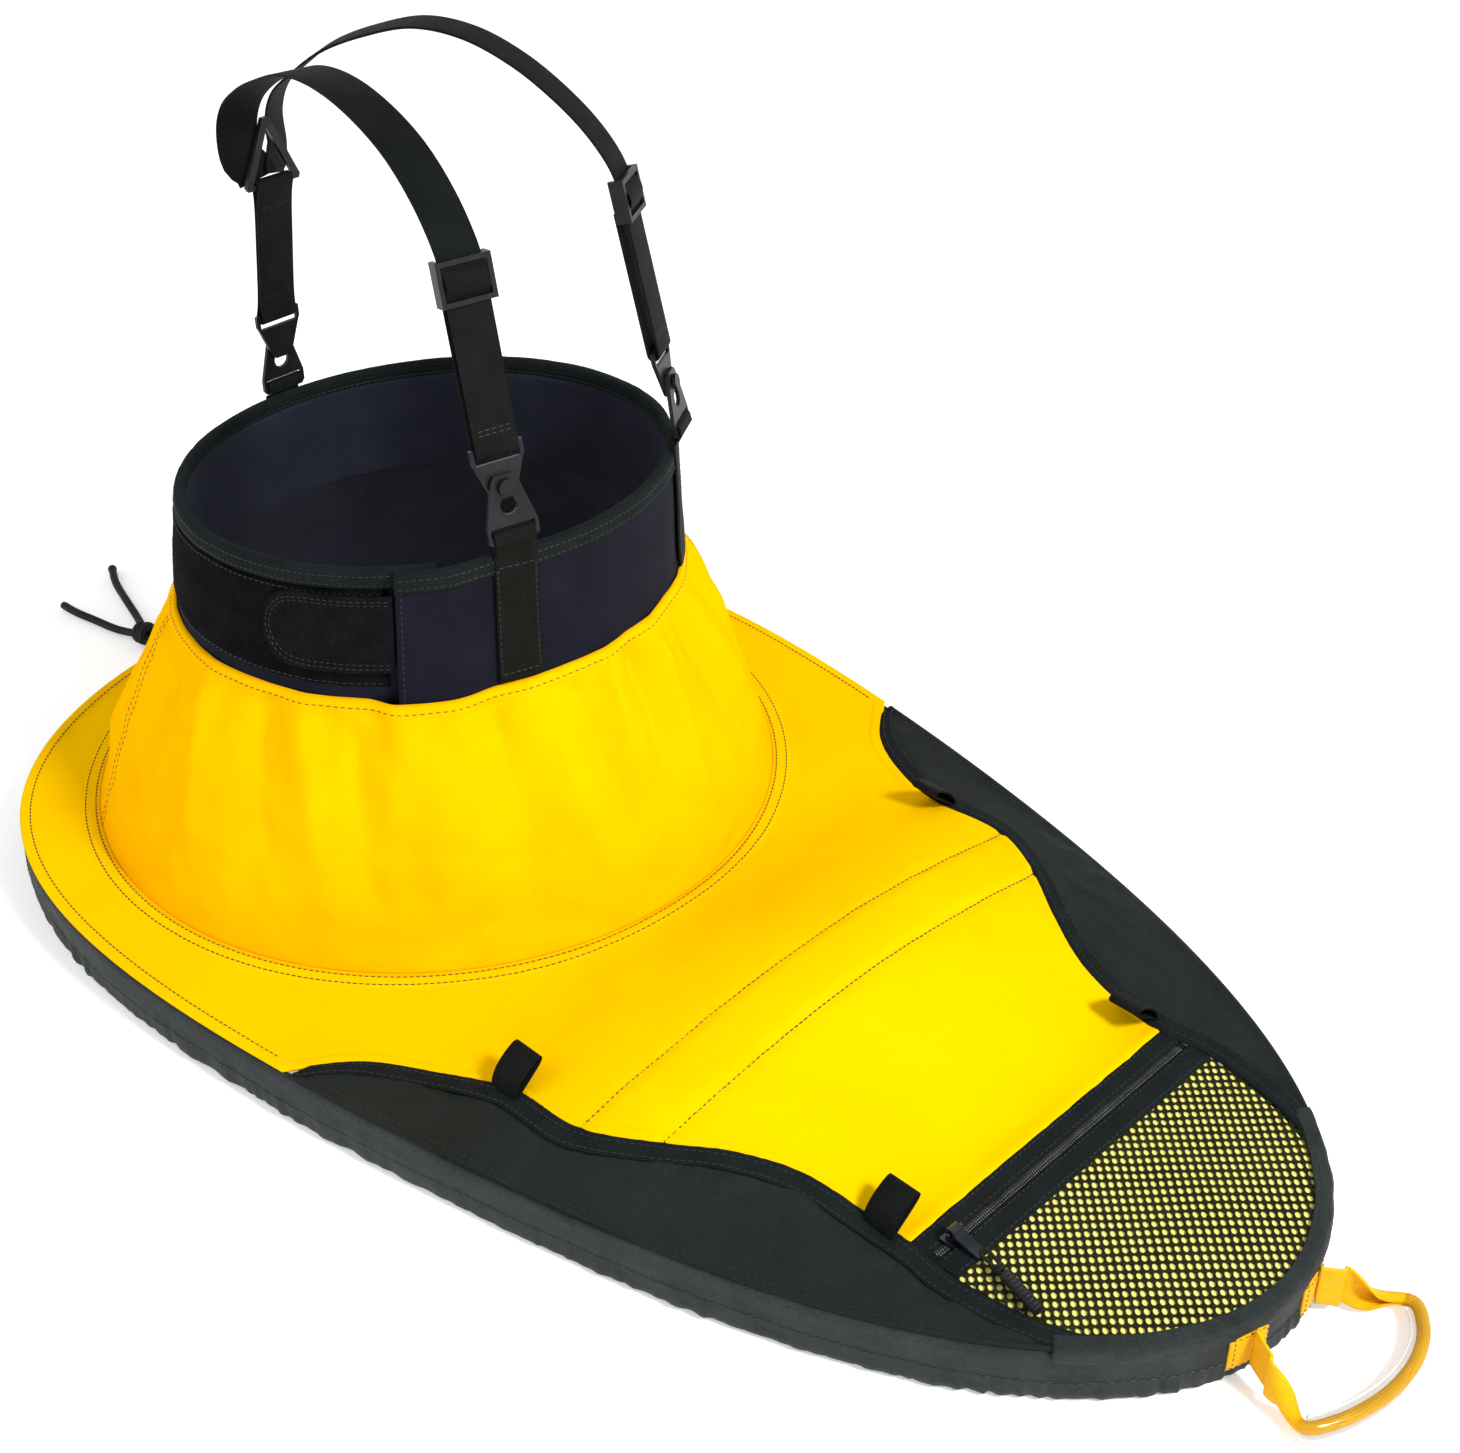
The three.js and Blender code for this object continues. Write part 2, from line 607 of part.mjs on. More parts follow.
function zipSlider() {
  const roof = DECK_Z + 1.3;
  const body = box([ZIP_X - 4.8, PULL_Y - 6, roof], [ZIP_X + 4.8, PULL_Y + 6, roof + 1.5]);
  const skirts = [-4.8, 3.3].map((x) => box([ZIP_X + x, PULL_Y - 6, DECK_Z + 0.4], [ZIP_X + x + 1.5, PULL_Y + 6, roof + 1]));
  const posts = [-5.6, 4.2].map((y) => box([ZIP_X - 0.9, PULL_Y + y, roof + 1], [ZIP_X + 0.9, PULL_Y + y + 1.4, roof + 6.3]));
  const bridge = box([ZIP_X - 0.7, PULL_Y - 5.6, roof + 4.9], [ZIP_X + 0.7, PULL_Y + 5.6, roof + 6.3]);
  return joined(body, ...skirts, ...posts, bridge);
}

const BAIL_Z = DECK_Z + 6.9;
const PULL_TILT = rad(12);

// Tab with an eye round the slider's bail, lying over towards the bow.
function zipPull() {
  const eye = outlineShape(
    [[3, -0.7], [17, -0.7], [18.5, 0.7], [3, 0.7], [1.6, 2.7], [-1.4, 2.9], [-3, 1.2], [-3, -1.2], [-1.4, -2.9], [1.6, -2.7]],
    [circle(0, 0, 1.6)],
  );
  const tab = swept(eye, 1, (a, b, t) => V(
    ZIP_X + a * Math.cos(PULL_TILT) + b * Math.sin(PULL_TILT),
    PULL_Y + lerp(-3.4, 3.4, t),
    BAIL_Z + b * Math.cos(PULL_TILT) - a * Math.sin(PULL_TILT),
  ));
  return tab;
}

const GRIP_AT = V(ZIP_X + 20.6, PULL_Y, 43.2);
const GRIP_DIRECTION = V(Math.cos(rad(-14)), Math.sin(rad(-14)), 0);
const alongGrip = (s) => GRIP_AT.clone().addScaledVector(GRIP_DIRECTION, s);

function gripCord() {
  return rod(alongGrip(0), alongGrip(13.4), 1.5, 8);
}

// Ribbed sleeve on the pull cord.
function zipGrip() {
  const profile = [[0, 0], [2.6, 0], [3.3, 0.8]];
  for (let i = 0; i < 6; i += 1) profile.push([3.3, 1.6 + 4 * i], [3.3, 3.6 + 4 * i], [2.8, 4.2 + 4 * i], [2.8, 5 + 4 * i]);
  profile.push([3.3, 26], [2.4, 27.2], [0, 27.2]);
  const points = profile.map(([r, s]) => new THREE.Vector2(r, s));
  const side = V(-GRIP_DIRECTION.y, GRIP_DIRECTION.x, 0);
  return mapped(new THREE.LatheGeometry(points, 12), (x, s, z) => alongGrip(13.8 + s)
    .addScaledVector(side, x).add(V(0, 0, z)));
}

// ---------------------------------------------------------------- deck loops and grab loop
// A folded loop of webbing on the seam, leaning in over the deck.
function deckLoop(side, seamX, seamY, leanDegrees) {
  const outer = [
    [0, 0], [0, 4.2], [5, 8.6], [12, 10.2], [19, 9.4], [23.6, 6.6], [24.6, 3.4], [22, 0.4], [14, -1], [6, -0.8],
  ];
  const hole = [
    [1.6, 1.7], [6.4, 0.8], [14, 0.6], [21.2, 1.9], [22.9, 3.6], [22.2, 5.8], [18.3, 7.9], [12, 8.6], [6, 7.1], [1.6, 3.2],
  ];
  const shape = outlineShape(outer, [new THREE.Path(hole.map(([x, y]) => new THREE.Vector2(x, y)))]);
  const inward = V(0, -side, 0);
  const lean = rad(leanDegrees);
  const foot = V(seamX, side * (seamY + 2.5), deckZ(seamX, seamY) + 2.7);
  return swept(shape, 1, (q, h, t) => foot.clone()
    .addScaledVector(inward, q * Math.cos(lean) - h * Math.sin(lean))
    .add(V(lerp(-10, 10, t), 0, q * Math.sin(lean) + h * Math.cos(lean))));
}

const TUBE_R = 6.5;
const TUBE_Z = TUBE_R + 0.3;
const TUBE_APEX = SPAN / 2 - TUBE_R;
const loopRoute = new THREE.CatmullRomCurve3([
  V(418.8, -31, 22.5), V(436, -37.4, 17), V(449, -41.5, 10), V(457, -42.5, TUBE_Z), V(466.5, -28, TUBE_Z),
  V(473.5, -6, TUBE_Z), V(TUBE_APEX, 12, TUBE_Z), V(473.6, 32, TUBE_Z), V(466, 50, TUBE_Z), V(455, 60, TUBE_Z),
  V(442, 51, 11), V(432, 37, 17.5), V(420.4, 23, 22.5),
]);
const TUBE_FROM = 0.235;
const TUBE_TO = 0.765;

function grabTube() {
  const steps = 18;
  const section = new THREE.Shape(new THREE.Shape().absarc(0, 0, TUBE_R, 0, 2 * Math.PI, false).getPoints(7).slice(0, -1));
  section.holes.push(new THREE.Path(new THREE.Path().absarc(0, 0, 5.2, 0, 2 * Math.PI, true).getPoints(7).slice(0, -1)));
  return swept(section, steps, (x, y, t) => {
    const u = lerp(TUBE_FROM, TUBE_TO, t);
    const along = loopRoute.getTangent(u).setZ(0).normalize();
    const out = V(along.y, -along.x, 0);
    return loopRoute.getPoint(u).setZ(TUBE_Z).addScaledVector(out, x).add(V(0, 0, y));
  });
}

// Yellow webbing: flat at its roots, rolled lengthwise inside the tube.
function grabWebbing() {
  const rolled = 3.4;
  return panel(34, 6, (u, v, w) => {
    const along = loopRoute.getTangent(u);
    const flat = along.clone().setZ(0).normalize();
    const out = V(flat.y, -flat.x, 0);
    const roll = smooth(u, 0.06, TUBE_FROM - 0.02) * (1 - smooth(u, TUBE_TO + 0.02, 0.94));
    const bend = Math.max(roll / rolled, 1e-4);
    const width = WEBBING * lerp(1, 0.78, roll);
    const a = (v - 0.5) * width * bend;
    const r = 1 / bend + (w - 0.5) * WEB_T;
    const up = r * Math.sin(a);
    const side = r * Math.cos(a) - (1 / bend) * (1 - roll);
    const centre = loopRoute.getPoint(u);
    if (roll > 0) centre.z = lerp(centre.z, TUBE_Z, roll);
    return centre.addScaledVector(out, side).add(V(0, 0, up));
  });
}

// Yellow webbing end sewn flat to the nose of the hem.
function grabAnchor(angleDegrees) {
  const spread = 3.1;
  return panel(4, 1, (u, v, w) => {
    const p = outline(rad(angleDegrees + lerp(-spread, spread, u)), -(GAP + 1.4 * w));
    return V(p.x, p.y, lerp(9, 33, v));
  });
}

// ---------------------------------------------------------------- assembly
const PAINT = {
  yellow: [0xffb800, 0.62], black: [0x282c30, 0.8], rand: [0x2d3437, 0.75], neoprene: [0x1c1e2d, 0.9],
  fuzz: [0x16161a, 1], tape: [0x191c1e, 0.8], plastic: [0x141617, 0.45], mesh: [0x1c2010, 0.85],
  metal: [0x55585c, 0.35, 0.9], elastic: [0x3a3d38, 0.8], stay: [0xe8e8e4, 0.4], clear: [0xdfe6ea, 0.1],
};

const skirt = new THREE.Group();

function add(name, geometry, paint) {
  const [color, roughness, metalness = 0] = PAINT[paint];
  const mesh = new THREE.Mesh(geometry, new THREE.MeshStandardMaterial({ color, roughness, metalness }));
  mesh.name = name;
  skirt.add(mesh);
}

add('deck_panel', deckPanel(), 'yellow');
add('nose_panel', nosePanel(267.6, AT_ZIP, 2.8, -3.9, -2.2), 'yellow');
add('pocket_mesh', nosePanel(POCKET_X, AT_POCKET, 0, -1.2, 0), 'mesh');
add('stay_sleeve', staySleeve(), 'yellow');
add('deck_stay', deckStay(), 'stay');

const exitSlot = box([-490, -27, -1], [-460, 27, HEM_DEPTH + 1]);
add('rand_left', cut(rand(NOSE_SEAM + 0.05, 179.95, 48), exitSlot), 'rand');
add('rand_right', cut(rand(-NOSE_SEAM - 0.05, -179.95, 48), exitSlot), 'rand');
add('rand_nose', rand(-NOSE_SEAM, NOSE_SEAM, 14), 'rand');
add('hem_shock_cord', hemCord(), 'elastic');
add('cord_knot', knot(), 'elastic');

[['left', 1], ['right', -1]].forEach(([name, side]) => {
  add(`side_panel_${name}`, sidePanel(side), 'black');
  add(`seam_binding_${name}`, seamBinding(side), 'tape');
  add(`cord_lead_${name}`, cord(LEADS[name], 9), 'elastic');
  add(`cord_tail_${name}`, cord(TAILS[name], 12), 'elastic');
  add(`deck_loop_rear_${name}`, deckLoop(side, 47, 178, 38), 'tape');
  add(`deck_loop_front_${name}`, deckLoop(side, 250, 108.5, 34), 'tape');
});

add('tunnel', tunnel(), 'yellow');
add('waistband', waistband(), 'neoprene');
add('waistband_binding', topBinding(), 'tape');
add('waistband_loop_field', loopField(), 'fuzz');
add('waist_tab', waistTab(), 'fuzz');

add('zip_tape_rear', zipTape(267.4, 277.6, 106.4), 'tape');
add('zip_tape_front', zipTape(284.4, 294.6, 107.6), 'tape');
add('zip_coil', box([ZIP_X - 2.4, -104, DECK_Z - 1.6], [ZIP_X + 2.4, 104, DECK_Z + 0.9]), 'plastic');
add('zip_slider', zipSlider(), 'metal');
add('zip_pull', zipPull(), 'metal');
add('zip_grip_cord', gripCord(), 'elastic');
add('zip_grip', zipGrip(), 'plastic');

add('grab_tube', grabTube(), 'clear');
add('grab_webbing', grabWebbing(), 'yellow');
add('grab_anchor_right', grabAnchor(-8), 'yellow');
add('grab_anchor_left', grabAnchor(5.6), 'yellow');

[['right', -19.5], ['left', 43]].forEach(([name, degrees]) => {
  const { frame } = HOOKS[name];
  add(`anchor_tape_${name}`, anchorTape(degrees, 0.17, 5), 'tape');
  add(`anchor_loop_${name}`, inFrame(anchorLoop(), frame), 'tape');
  add(`keyhole_plate_${name}`, inFrame(keyholePlate(), frame), 'plastic');
  add(`stud_plate_${name}`, inFrame(studPlate(true), frame), 'plastic');
  add(`shoulder_strap_${name}`, shoulderStrap(name), 'tape');
  add(`adjuster_${name}`, inFrame(adjuster(), frame), 'plastic');
});
add('anchor_tape_rear', anchorTape(180, 0.17, 2), 'tape');
add('anchor_loop_rear', inFrame(anchorLoop(), HOOKS.rear.frame), 'tape');
add('keyhole_plate_rear', inFrame(keyholePlate(), HOOKS.rear.frame), 'plastic');
add('stud_plate_rear', inFrame(studPlate(false), HOOKS.rear.frame), 'plastic');
add('harness_ring', harnessRing(), 'plastic');
add('back_strap', backStrap(), 'tape');

export default skirt;
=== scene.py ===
from math import acos, atan2, cos, exp, hypot, pi, radians, sin, sqrt
from math import degrees as in_degrees

import bpy
from mathutils import Matrix, Vector, noise
from mathutils.bvhtree import BVHTree


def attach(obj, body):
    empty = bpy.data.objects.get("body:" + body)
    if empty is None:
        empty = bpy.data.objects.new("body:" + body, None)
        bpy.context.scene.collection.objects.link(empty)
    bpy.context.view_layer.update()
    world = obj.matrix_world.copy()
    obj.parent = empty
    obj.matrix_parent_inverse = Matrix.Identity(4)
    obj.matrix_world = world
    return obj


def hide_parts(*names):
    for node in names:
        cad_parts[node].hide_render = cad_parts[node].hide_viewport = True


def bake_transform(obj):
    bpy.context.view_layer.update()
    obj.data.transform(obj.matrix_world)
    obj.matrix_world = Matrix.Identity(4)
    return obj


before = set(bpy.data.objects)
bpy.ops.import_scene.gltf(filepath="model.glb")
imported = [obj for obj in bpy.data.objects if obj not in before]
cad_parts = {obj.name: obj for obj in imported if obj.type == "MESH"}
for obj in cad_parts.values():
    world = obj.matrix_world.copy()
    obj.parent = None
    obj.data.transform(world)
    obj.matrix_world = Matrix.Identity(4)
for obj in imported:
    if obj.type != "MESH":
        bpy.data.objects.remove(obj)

# Kayak spray skirt, looks. Shapes are worked out in millimetres in the shared frame and stored in metres.
MM = 0.001
UP = Vector((0, 0, 1))
SCENE = bpy.context.scene
BOTH = (("left", 1), ("right", -1))
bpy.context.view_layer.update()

DECK_MID, HALF = -31.0, 451.0  # the deck's middle and half length along x
RAND_TOP, DECK_Z = 36.0, 38.0
CROWN, STAY_X, CROWN_REACH = 34.0, 119.0, 140.0  # the rise over the stay, and how far it spreads
SLEEVE_SEAMS = (99.0, 139.8)
PANEL_START = -60.5  # where the side panels run out, towards the rear
DECK_FRONT, DECK_FRONT_HALF = 267, 107.5
FOOT = (-230.0, 220.0, 217.0)  # the tunnel's foot: middle x, half length, half width
WEBBING, WEB_T, LAYER = 25.0, 1.6, 3.2
# Distances up a hook from its foot.
STUD_S = 31.0
BAR_S = STUD_S + 23 - 1.6
DOUBLED = 150.0
ADJUST_S = 143.0
ZIP_X, PULL_Y, POCKET_X = 281.0, -90.0, 295.0


# ---- arithmetic
def lerp(a, b, t):
    return a + (b - a) * t


def clamp(x, low=0.0, high=1.0):
    return max(low, min(high, x))


def smooth(x, a, b):
    t = clamp((x - a) / (b - a))
    return t * t * (3 - 2 * t)


def V(x, y, z=0.0):
    return Vector((x, y, z))


def spoke(degrees, z=0.0):
    a = radians(degrees)
    return V(cos(a), sin(a), z)


def rough(x, y, z=0.0, octaves=3):
    """Soft noise, about -1 to 1."""
    return noise.fractal(Vector((x, y, z)), 0.6, 2.1, octaves, noise_basis="PERLIN_ORIGINAL") * 1.3


class Spline:
    """Centripetal Catmull-Rom through points."""

    def __init__(self, points):
        self.p = [Vector(p) if len(p) == 3 else V(*p) for p in points]

    def at(self, t):
        p = self.p
        last = len(p) - 1
        s = clamp(t) * last
        i = min(int(s), last - 1)
        w = s - i
        b, c = p[i], p[i + 1]
        a = p[i - 1] if i > 0 else b * 2 - c
        d = p[i + 2] if i + 2 <= last else c * 2 - b
        ta = max((b - a).length ** 0.5, 1e-4)
        tb = max((c - b).length ** 0.5, 1e-4)
        tc = max((d - c).length ** 0.5, 1e-4)
        m1 = ((b - a) / ta - (c - a) / (ta + tb) + (c - b) / tb) * tb
        m2 = ((c - b) / tb - (d - b) / (tb + tc) + (d - c) / tc) * tb
        return b + m1 * w + (b * -3 + c * 3 - m1 * 2 - m2) * w ** 2 + (b * 2 - c * 2 + m1 + m2) * w ** 3

    def spaced(self, count, fine=400):
        dense = [self.at(i / fine) for i in range(fine + 1)]
        return respaced(dense, count)


def respaced(dense, count):
    total = [0.0]
    for a, b in zip(dense, dense[1:]):
        total.append(total[-1] + (b - a).length)
    out = []
    k = 0
    for i in range(count):
        want = total[-1] * i / (count - 1)
        while k < len(dense) - 2 and total[k + 1] < want:
            k += 1
        step = total[k + 1] - total[k]
        out.append(dense[k].lerp(dense[k + 1], clamp((want - total[k]) / step if step else 0)))
    return out


def run_length(points):
    return sum((b - a).length for a, b in zip(points, points[1:]))


def on_cut(section, v, closed=True):
    """The point v of the way along a section [(x, y)]."""
    count = len(section) if closed else len(section) - 1
    i = min(int(v * count), count - 1)
    a, b = section[i], section[(i + 1) % len(section)]
    return lerp(a[0], b[0], v * count - i), lerp(a[1], b[1], v * count - i)


def span(a, b):
    return lambda u, v: (a * u, b * v)


def turned(a, b):
    return lambda u, v: (a * v, b * u)


# ---- the deck's plan and height
def outline(angle, inset=0.0):
    """The hem's plan: its half width is a short series in the angle, fitted to the photo's outline."""
    c, s = cos(angle), sin(angle)
    f = 278 - 87 * c + 33 * cos(2 * angle) - 4 * cos(3 * angle)
    df = 87 * s - 66 * sin(2 * angle) + 12 * sin(3 * angle)
    out = V(c * f + s * df, HALF * s).normalized()
    return V(DECK_MID + HALF * c, s * f) - out * inset


def angle_at(x):
    return acos(clamp((x - DECK_MID) / HALF, -1, 1))


def half_width(x):
    return outline(angle_at(x)).y


def deck_z(x, y):
    a = clamp(abs(x - STAY_X) / CROWN_REACH)
    b = clamp(abs(y) / max(half_width(x), 1))
    return DECK_Z + CROWN * (1 - a * a) ** 2 * (1 - b * b)


# The left seam between the deck cloth and the side panel, and places along it.
SEAM = Spline([
    (-60.5, 249.5), (-33, 215), (5, 193), (47, 178), (97, 176), (139, 155.6),
    (173, 132), (208, 114.5), (267, 107.5), (295, 110), (341, 103), (384, 86),
])
AT_ZIP = 8 / 11
AT_POCKET = 9 / 11
SEAM_END = 0.965


def ellipse(x, a, b, angle, out=0.0):
    return V(x + (a + out) * cos(angle), (b + out) * sin(angle))


# ---- meshes
def new_object(name, verts, faces, uvs, material, body, smooth_angle=50):
    mesh = bpy.data.meshes.new(name)
    mesh.from_pydata([v * MM for v in verts], [], faces)
    if uvs:
        layer = mesh.uv_layers.new(name="UVMap")
        k = 0
        for corner in uvs:
            for a, b in corner:
                layer.data[k].uv = (a * MM, b * MM)
                k += 1
    mesh.materials.append(material)
    mesh.polygons.foreach_set("use_smooth", [True] * len(mesh.polygons))
    mesh.set_sharp_from_angle(angle=radians(smooth_angle))
    obj = bpy.data.objects.new(name, mesh)
    SCENE.collection.objects.link(obj)
    if body:
        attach(obj, body)
    return obj


def turn_faces(obj, face):
    """Turns a sheet's faces up, down, or out from the middle of the deck."""
    total = 0.0
    for poly in obj.data.polygons:
        away = Vector((poly.center.x + 0.15, poly.center.y, 0)).normalized()
        way = {"up": UP, "down": -UP, "out": away}[face]
        total += poly.area * poly.normal.dot(way)
    if total < 0:
        obj.data.flip_normals()


def grid(name, nu, nv, place, uv, material, body, closed_u=False, closed_v=False,
         thick=0.0, face=None, smooth_angle=50):
    """A sheet place(u, v) in mm, with its flat size uv(u, v) in mm, thickened behind its face."""
    cu = nu if closed_u else nu + 1
    cv = nv if closed_v else nv + 1
    verts = [place(i / nu, j / nv) for i in range(cu) for j in range(cv)]
    faces, uvs = [], []
    for i in range(nu):
        for j in range(nv):
            corners = [(i, j), (i + 1, j), (i + 1, j + 1), (i, j + 1)]
            faces.append([(a % cu) * cv + (b % cv) for a, b in corners])
            uvs.append([uv(a / nu, b / nv) for a, b in corners])
    obj = new_object(name, verts, faces, uvs, material, body, smooth_angle)
    if face:
        turn_faces(obj, face)
    if thick:
        solid = obj.modifiers.new("thickness", "SOLIDIFY")
        solid.thickness = thick * MM
        solid.offset = -1
        solid.use_even_offset = True
    return obj


def sweep(name, frames, section, material, body, closed=False, smooth_angle=50):
    """A closed section [(x, y)] carried along frames [(point, x axis, y axis)]."""
    n = len(section)
    m = len(frames)
    verts = [p + ax * x + ay * y for p, ax, ay in frames for x, y in section]
    around = [0.0]
    for k in range(n):
        a, b = section[k], section[(k + 1) % n]
        around.append(around[-1] + hypot(b[0] - a[0], b[1] - a[1]))
    along = [0.0]
    for k in range(m):
        along.append(along[-1] + (frames[(k + 1) % m][0] - frames[k][0]).length)
    faces, uvs = [], []
    for i in range(m if closed else m - 1):
        for k in range(n):
            corners = [(i, k), (i + 1, k), (i + 1, k + 1), (i, k + 1)]
            faces.append([(a % m) * n + (b % n) for a, b in corners])
            uvs.append([(around[b], along[a]) for a, b in corners])
    if not closed:
        faces += [list(range(n)), [(m - 1) * n + k for k in reversed(range(n))]]
        uvs += [[(0, 0)] * n] * 2
    return outward(new_object(name, verts, faces, uvs, material, body, smooth_angle))


def outward(obj):
    """Turns the faces out."""
    mesh = obj.data
    total = 0.0
    for poly in mesh.polygons:
        p = [mesh.vertices[i].co for i in poly.vertices]
        for k in range(1, len(p) - 1):
            total += p[0].dot(p[k].cross(p[k + 1]))
    if total < 0:
        mesh.flip_normals()
    return obj


def ribbon_section(width, thick):
    w, t = width / 2, thick / 2
    return [
        (-w, 0), (-w + 0.15, -t * 0.7), (-w + 0.7, -t), (0, -t * 1.04), (w - 0.7, -t), (w - 0.15, -t * 0.7),
        (w, 0), (w - 0.15, t * 0.7), (w - 0.7, t), (0, t * 1.04), (-w + 0.7, t), (-w + 0.15, t * 0.7),
    ]


def tangent(points, k, closed):
    n = len(points)
    after = points[(k + 1) % n] if closed else points[min(k + 1, n - 1)]
    before = points[k - 1] if closed or k else points[0]
    return (after - before).normalized()


def ribbon(name, points, across, material, body, width=WEBBING, thick=WEB_T, closed=False):
    """Webbing along points, its width lying along the direction across."""
    frames = []
    for k, p in enumerate(points):
        along = tangent(points, k, closed)
        side = (across - along * across.dot(along)).normalized()
        frames.append((p, side, side.cross(along)))
    return sweep(name, frames, ribbon_section(width, thick), material, body, closed)


def tube(name, points, radius, material, body, sides=12, closed=False, smooth_angle=70):
    """A round tube. radius is one number, or one for each point."""
    radii = radius if isinstance(radius, list) else [radius] * len(points)
    frames = []
    side = tangent(points, 0, closed).orthogonal()
    for k, p in enumerate(points):
        along = tangent(points, k, closed)
        side = (side - along * side.dot(along)).normalized()
        frames.append((p, side * radii[k], side.cross(along) * radii[k]))
    ring = [(cos(2 * pi * k / sides), sin(2 * pi * k / sides)) for k in range(sides)]
    return sweep(name, frames, ring, material, body, closed, smooth_angle)


def dropped(runs, cloth, lift=0.08):
    """Each run of points dropped onto the cloth below it."""
    mesh = cloth.data
    tree = BVHTree.FromPolygons([v.co for v in mesh.vertices], [p.vertices for p in mesh.polygons])
    out = []
    for run in runs:
        line = []
        for p, _ in run:
            spot, normal, _, _ = tree.ray_cast((p + UP * 30) * MM, -UP, 0.06)
            if spot:
                normal = normal if normal.z > 0 else -normal
                line.append((spot / MM + normal * lift, normal))
        out.append(line)
    return out


def stitches(name, runs, material, body, stitch=3.0, gap=1.5, width=0.75, proud=0.28):
    """Thread along runs of (point, normal): one grain-shaped stitch after another."""
    verts, faces = [], []
    for run in runs:
        points = [p for p, _ in run]
        total = run_length(points)
        count = max(int(total / (stitch + gap)), 1)
        pitch = total / count
        dense_p, dense_n = [], []
        k, gone = 0, 0.0
        stops = []
        for i in range(count):
            stops += [i * pitch + gap / 2, i * pitch + pitch / 2, (i + 1) * pitch - gap / 2]
        for want in stops:
            while k < len(points) - 2 and gone + (points[k + 1] - points[k]).length < want:
                gone += (points[k + 1] - points[k]).length
                k += 1
            step = (points[k + 1] - points[k]).length
            t = clamp((want - gone) / step if step else 0)
            dense_p.append(points[k].lerp(points[k + 1], t))
            dense_n.append(run[k][1].lerp(run[k + 1][1], t).normalized())
        for i in range(count):
            a, m, b = dense_p[3 * i:3 * i + 3]
            up = dense_n[3 * i + 1]
            along = (b - a).normalized()
            side = up.cross(along).normalized()
            first = len(verts)
            for p, w, h in ((a, 0.5, 0.2), (m, 1, 1), (b, 0.5, 0.2)):
                for x, z in ((-w, 0.1), (-w * 0.55, h), (w * 0.55, h), (w, 0.1)):
                    verts.append(p + side * (x * width / 2) + up * (z * proud))
            for ring in range(2):
                for q in range(3):
                    c = first + ring * 4 + q
                    faces.append([c, c + 1, c + 5, c + 4])
            faces.append([first, first + 1, first + 2, first + 3])
            faces.append([first + 11, first + 10, first + 9, first + 8])
    return new_object(name, verts, faces, None, material, body)


# ---- materials
def shader(name, color, roughness, specular=0.5, **sockets):
    material = bpy.data.materials.new(name)
    material.use_nodes = True
    bsdf = material.node_tree.nodes["Principled BSDF"]
    bsdf.inputs["Base Color"].default_value = (*color, 1)
    bsdf.inputs["Roughness"].default_value = roughness
    bsdf.inputs["Specular IOR Level"].default_value = specular
    for key, value in sockets.items():
        bsdf.inputs[key.replace("_", " ")].default_value = value
    return material


def node(material, kind, **values):
    made = material.node_tree.nodes.new(kind)
    for key, value in values.items():
        if key in made.inputs:
            made.inputs[key].default_value = value
        else:
            setattr(made, key, value)
    return made


def link(material, a, b):
    material.node_tree.links.new(a, b)


def math_node(material, kind, a, b):
    made = node(material, "ShaderNodeMath", operation=kind)
    for socket, value in zip(made.inputs, (a, b)):
        if isinstance(value, (int, float)):
            socket.default_value = value
        else:
            link(material, value, socket)
    return made.outputs[0]


def weighted(material, *terms):
    """The sum of (output, weight) pairs."""
    total = None
    for value, weight in terms:
        part = value if weight == 1 else math_node(material, "MULTIPLY", value, weight)
        total = math_node(material, "ADD", total, part) if total else part
    return total


def noise_node(material, coords, scale, detail=3.0):
    made = node(material, "ShaderNodeTexNoise", Scale=scale, Detail=detail)
    link(material, coords, made.inputs["Vector"])
    return made.outputs["Fac"]


def bands(material, coords, axis, period_mm):
    """Stripes; a wave texture at scale 1 repeats every 0.314 of a unit."""
    made = node(material, "ShaderNodeTexWave", bands_direction=axis, Scale=0.314 / (period_mm * MM))
    link(material, coords, made.inputs["Vector"])
    return made.outputs["Fac"]


def paint(material, fac, dark, light, low=0.3, high=0.7):
    ramp = node(material, "ShaderNodeValToRGB")
    ramp.color_ramp.elements[0].position = low
    ramp.color_ramp.elements[0].color = (*dark, 1)
    ramp.color_ramp.elements[1].position = high
    ramp.color_ramp.elements[1].color = (*light, 1)
    link(material, fac, ramp.inputs["Fac"])
    link(material, ramp.outputs["Color"], material.node_tree.nodes["Principled BSDF"].inputs["Base Color"])


def relief(material, height, distance_mm):
    bump = node(material, "ShaderNodeBump", Strength=1.0, Distance=distance_mm * MM)
    link(material, height, bump.inputs["Height"])
    link(material, bump.outputs["Normal"], material.node_tree.nodes["Principled BSDF"].inputs["Normal"])


def coordinates(material, kind="UV"):
    return node(material, "ShaderNodeTexCoord").outputs[kind]


def woven(name, dark, light, roughness=0.75, pitch=0.9, depth=0.12, mottle=22, grain=260, **sockets):
    """Plain-woven cloth: warp and weft, a fine grain, and slow changes of colour."""
    material = shader(name, light, roughness, **sockets)
    uv = coordinates(material)
    weave = math_node(material, "MULTIPLY", bands(material, uv, "X", pitch), bands(material, uv, "Y", pitch))
    fine = noise_node(material, uv, grain, 4)
    slow = noise_node(material, uv, mottle, 3)
    paint(material, weighted(material, (slow, 0.62), (fine, 0.38)), dark, light)
    relief(material, weighted(material, (weave, 0.7), (fine, 0.9)), depth)
    return material


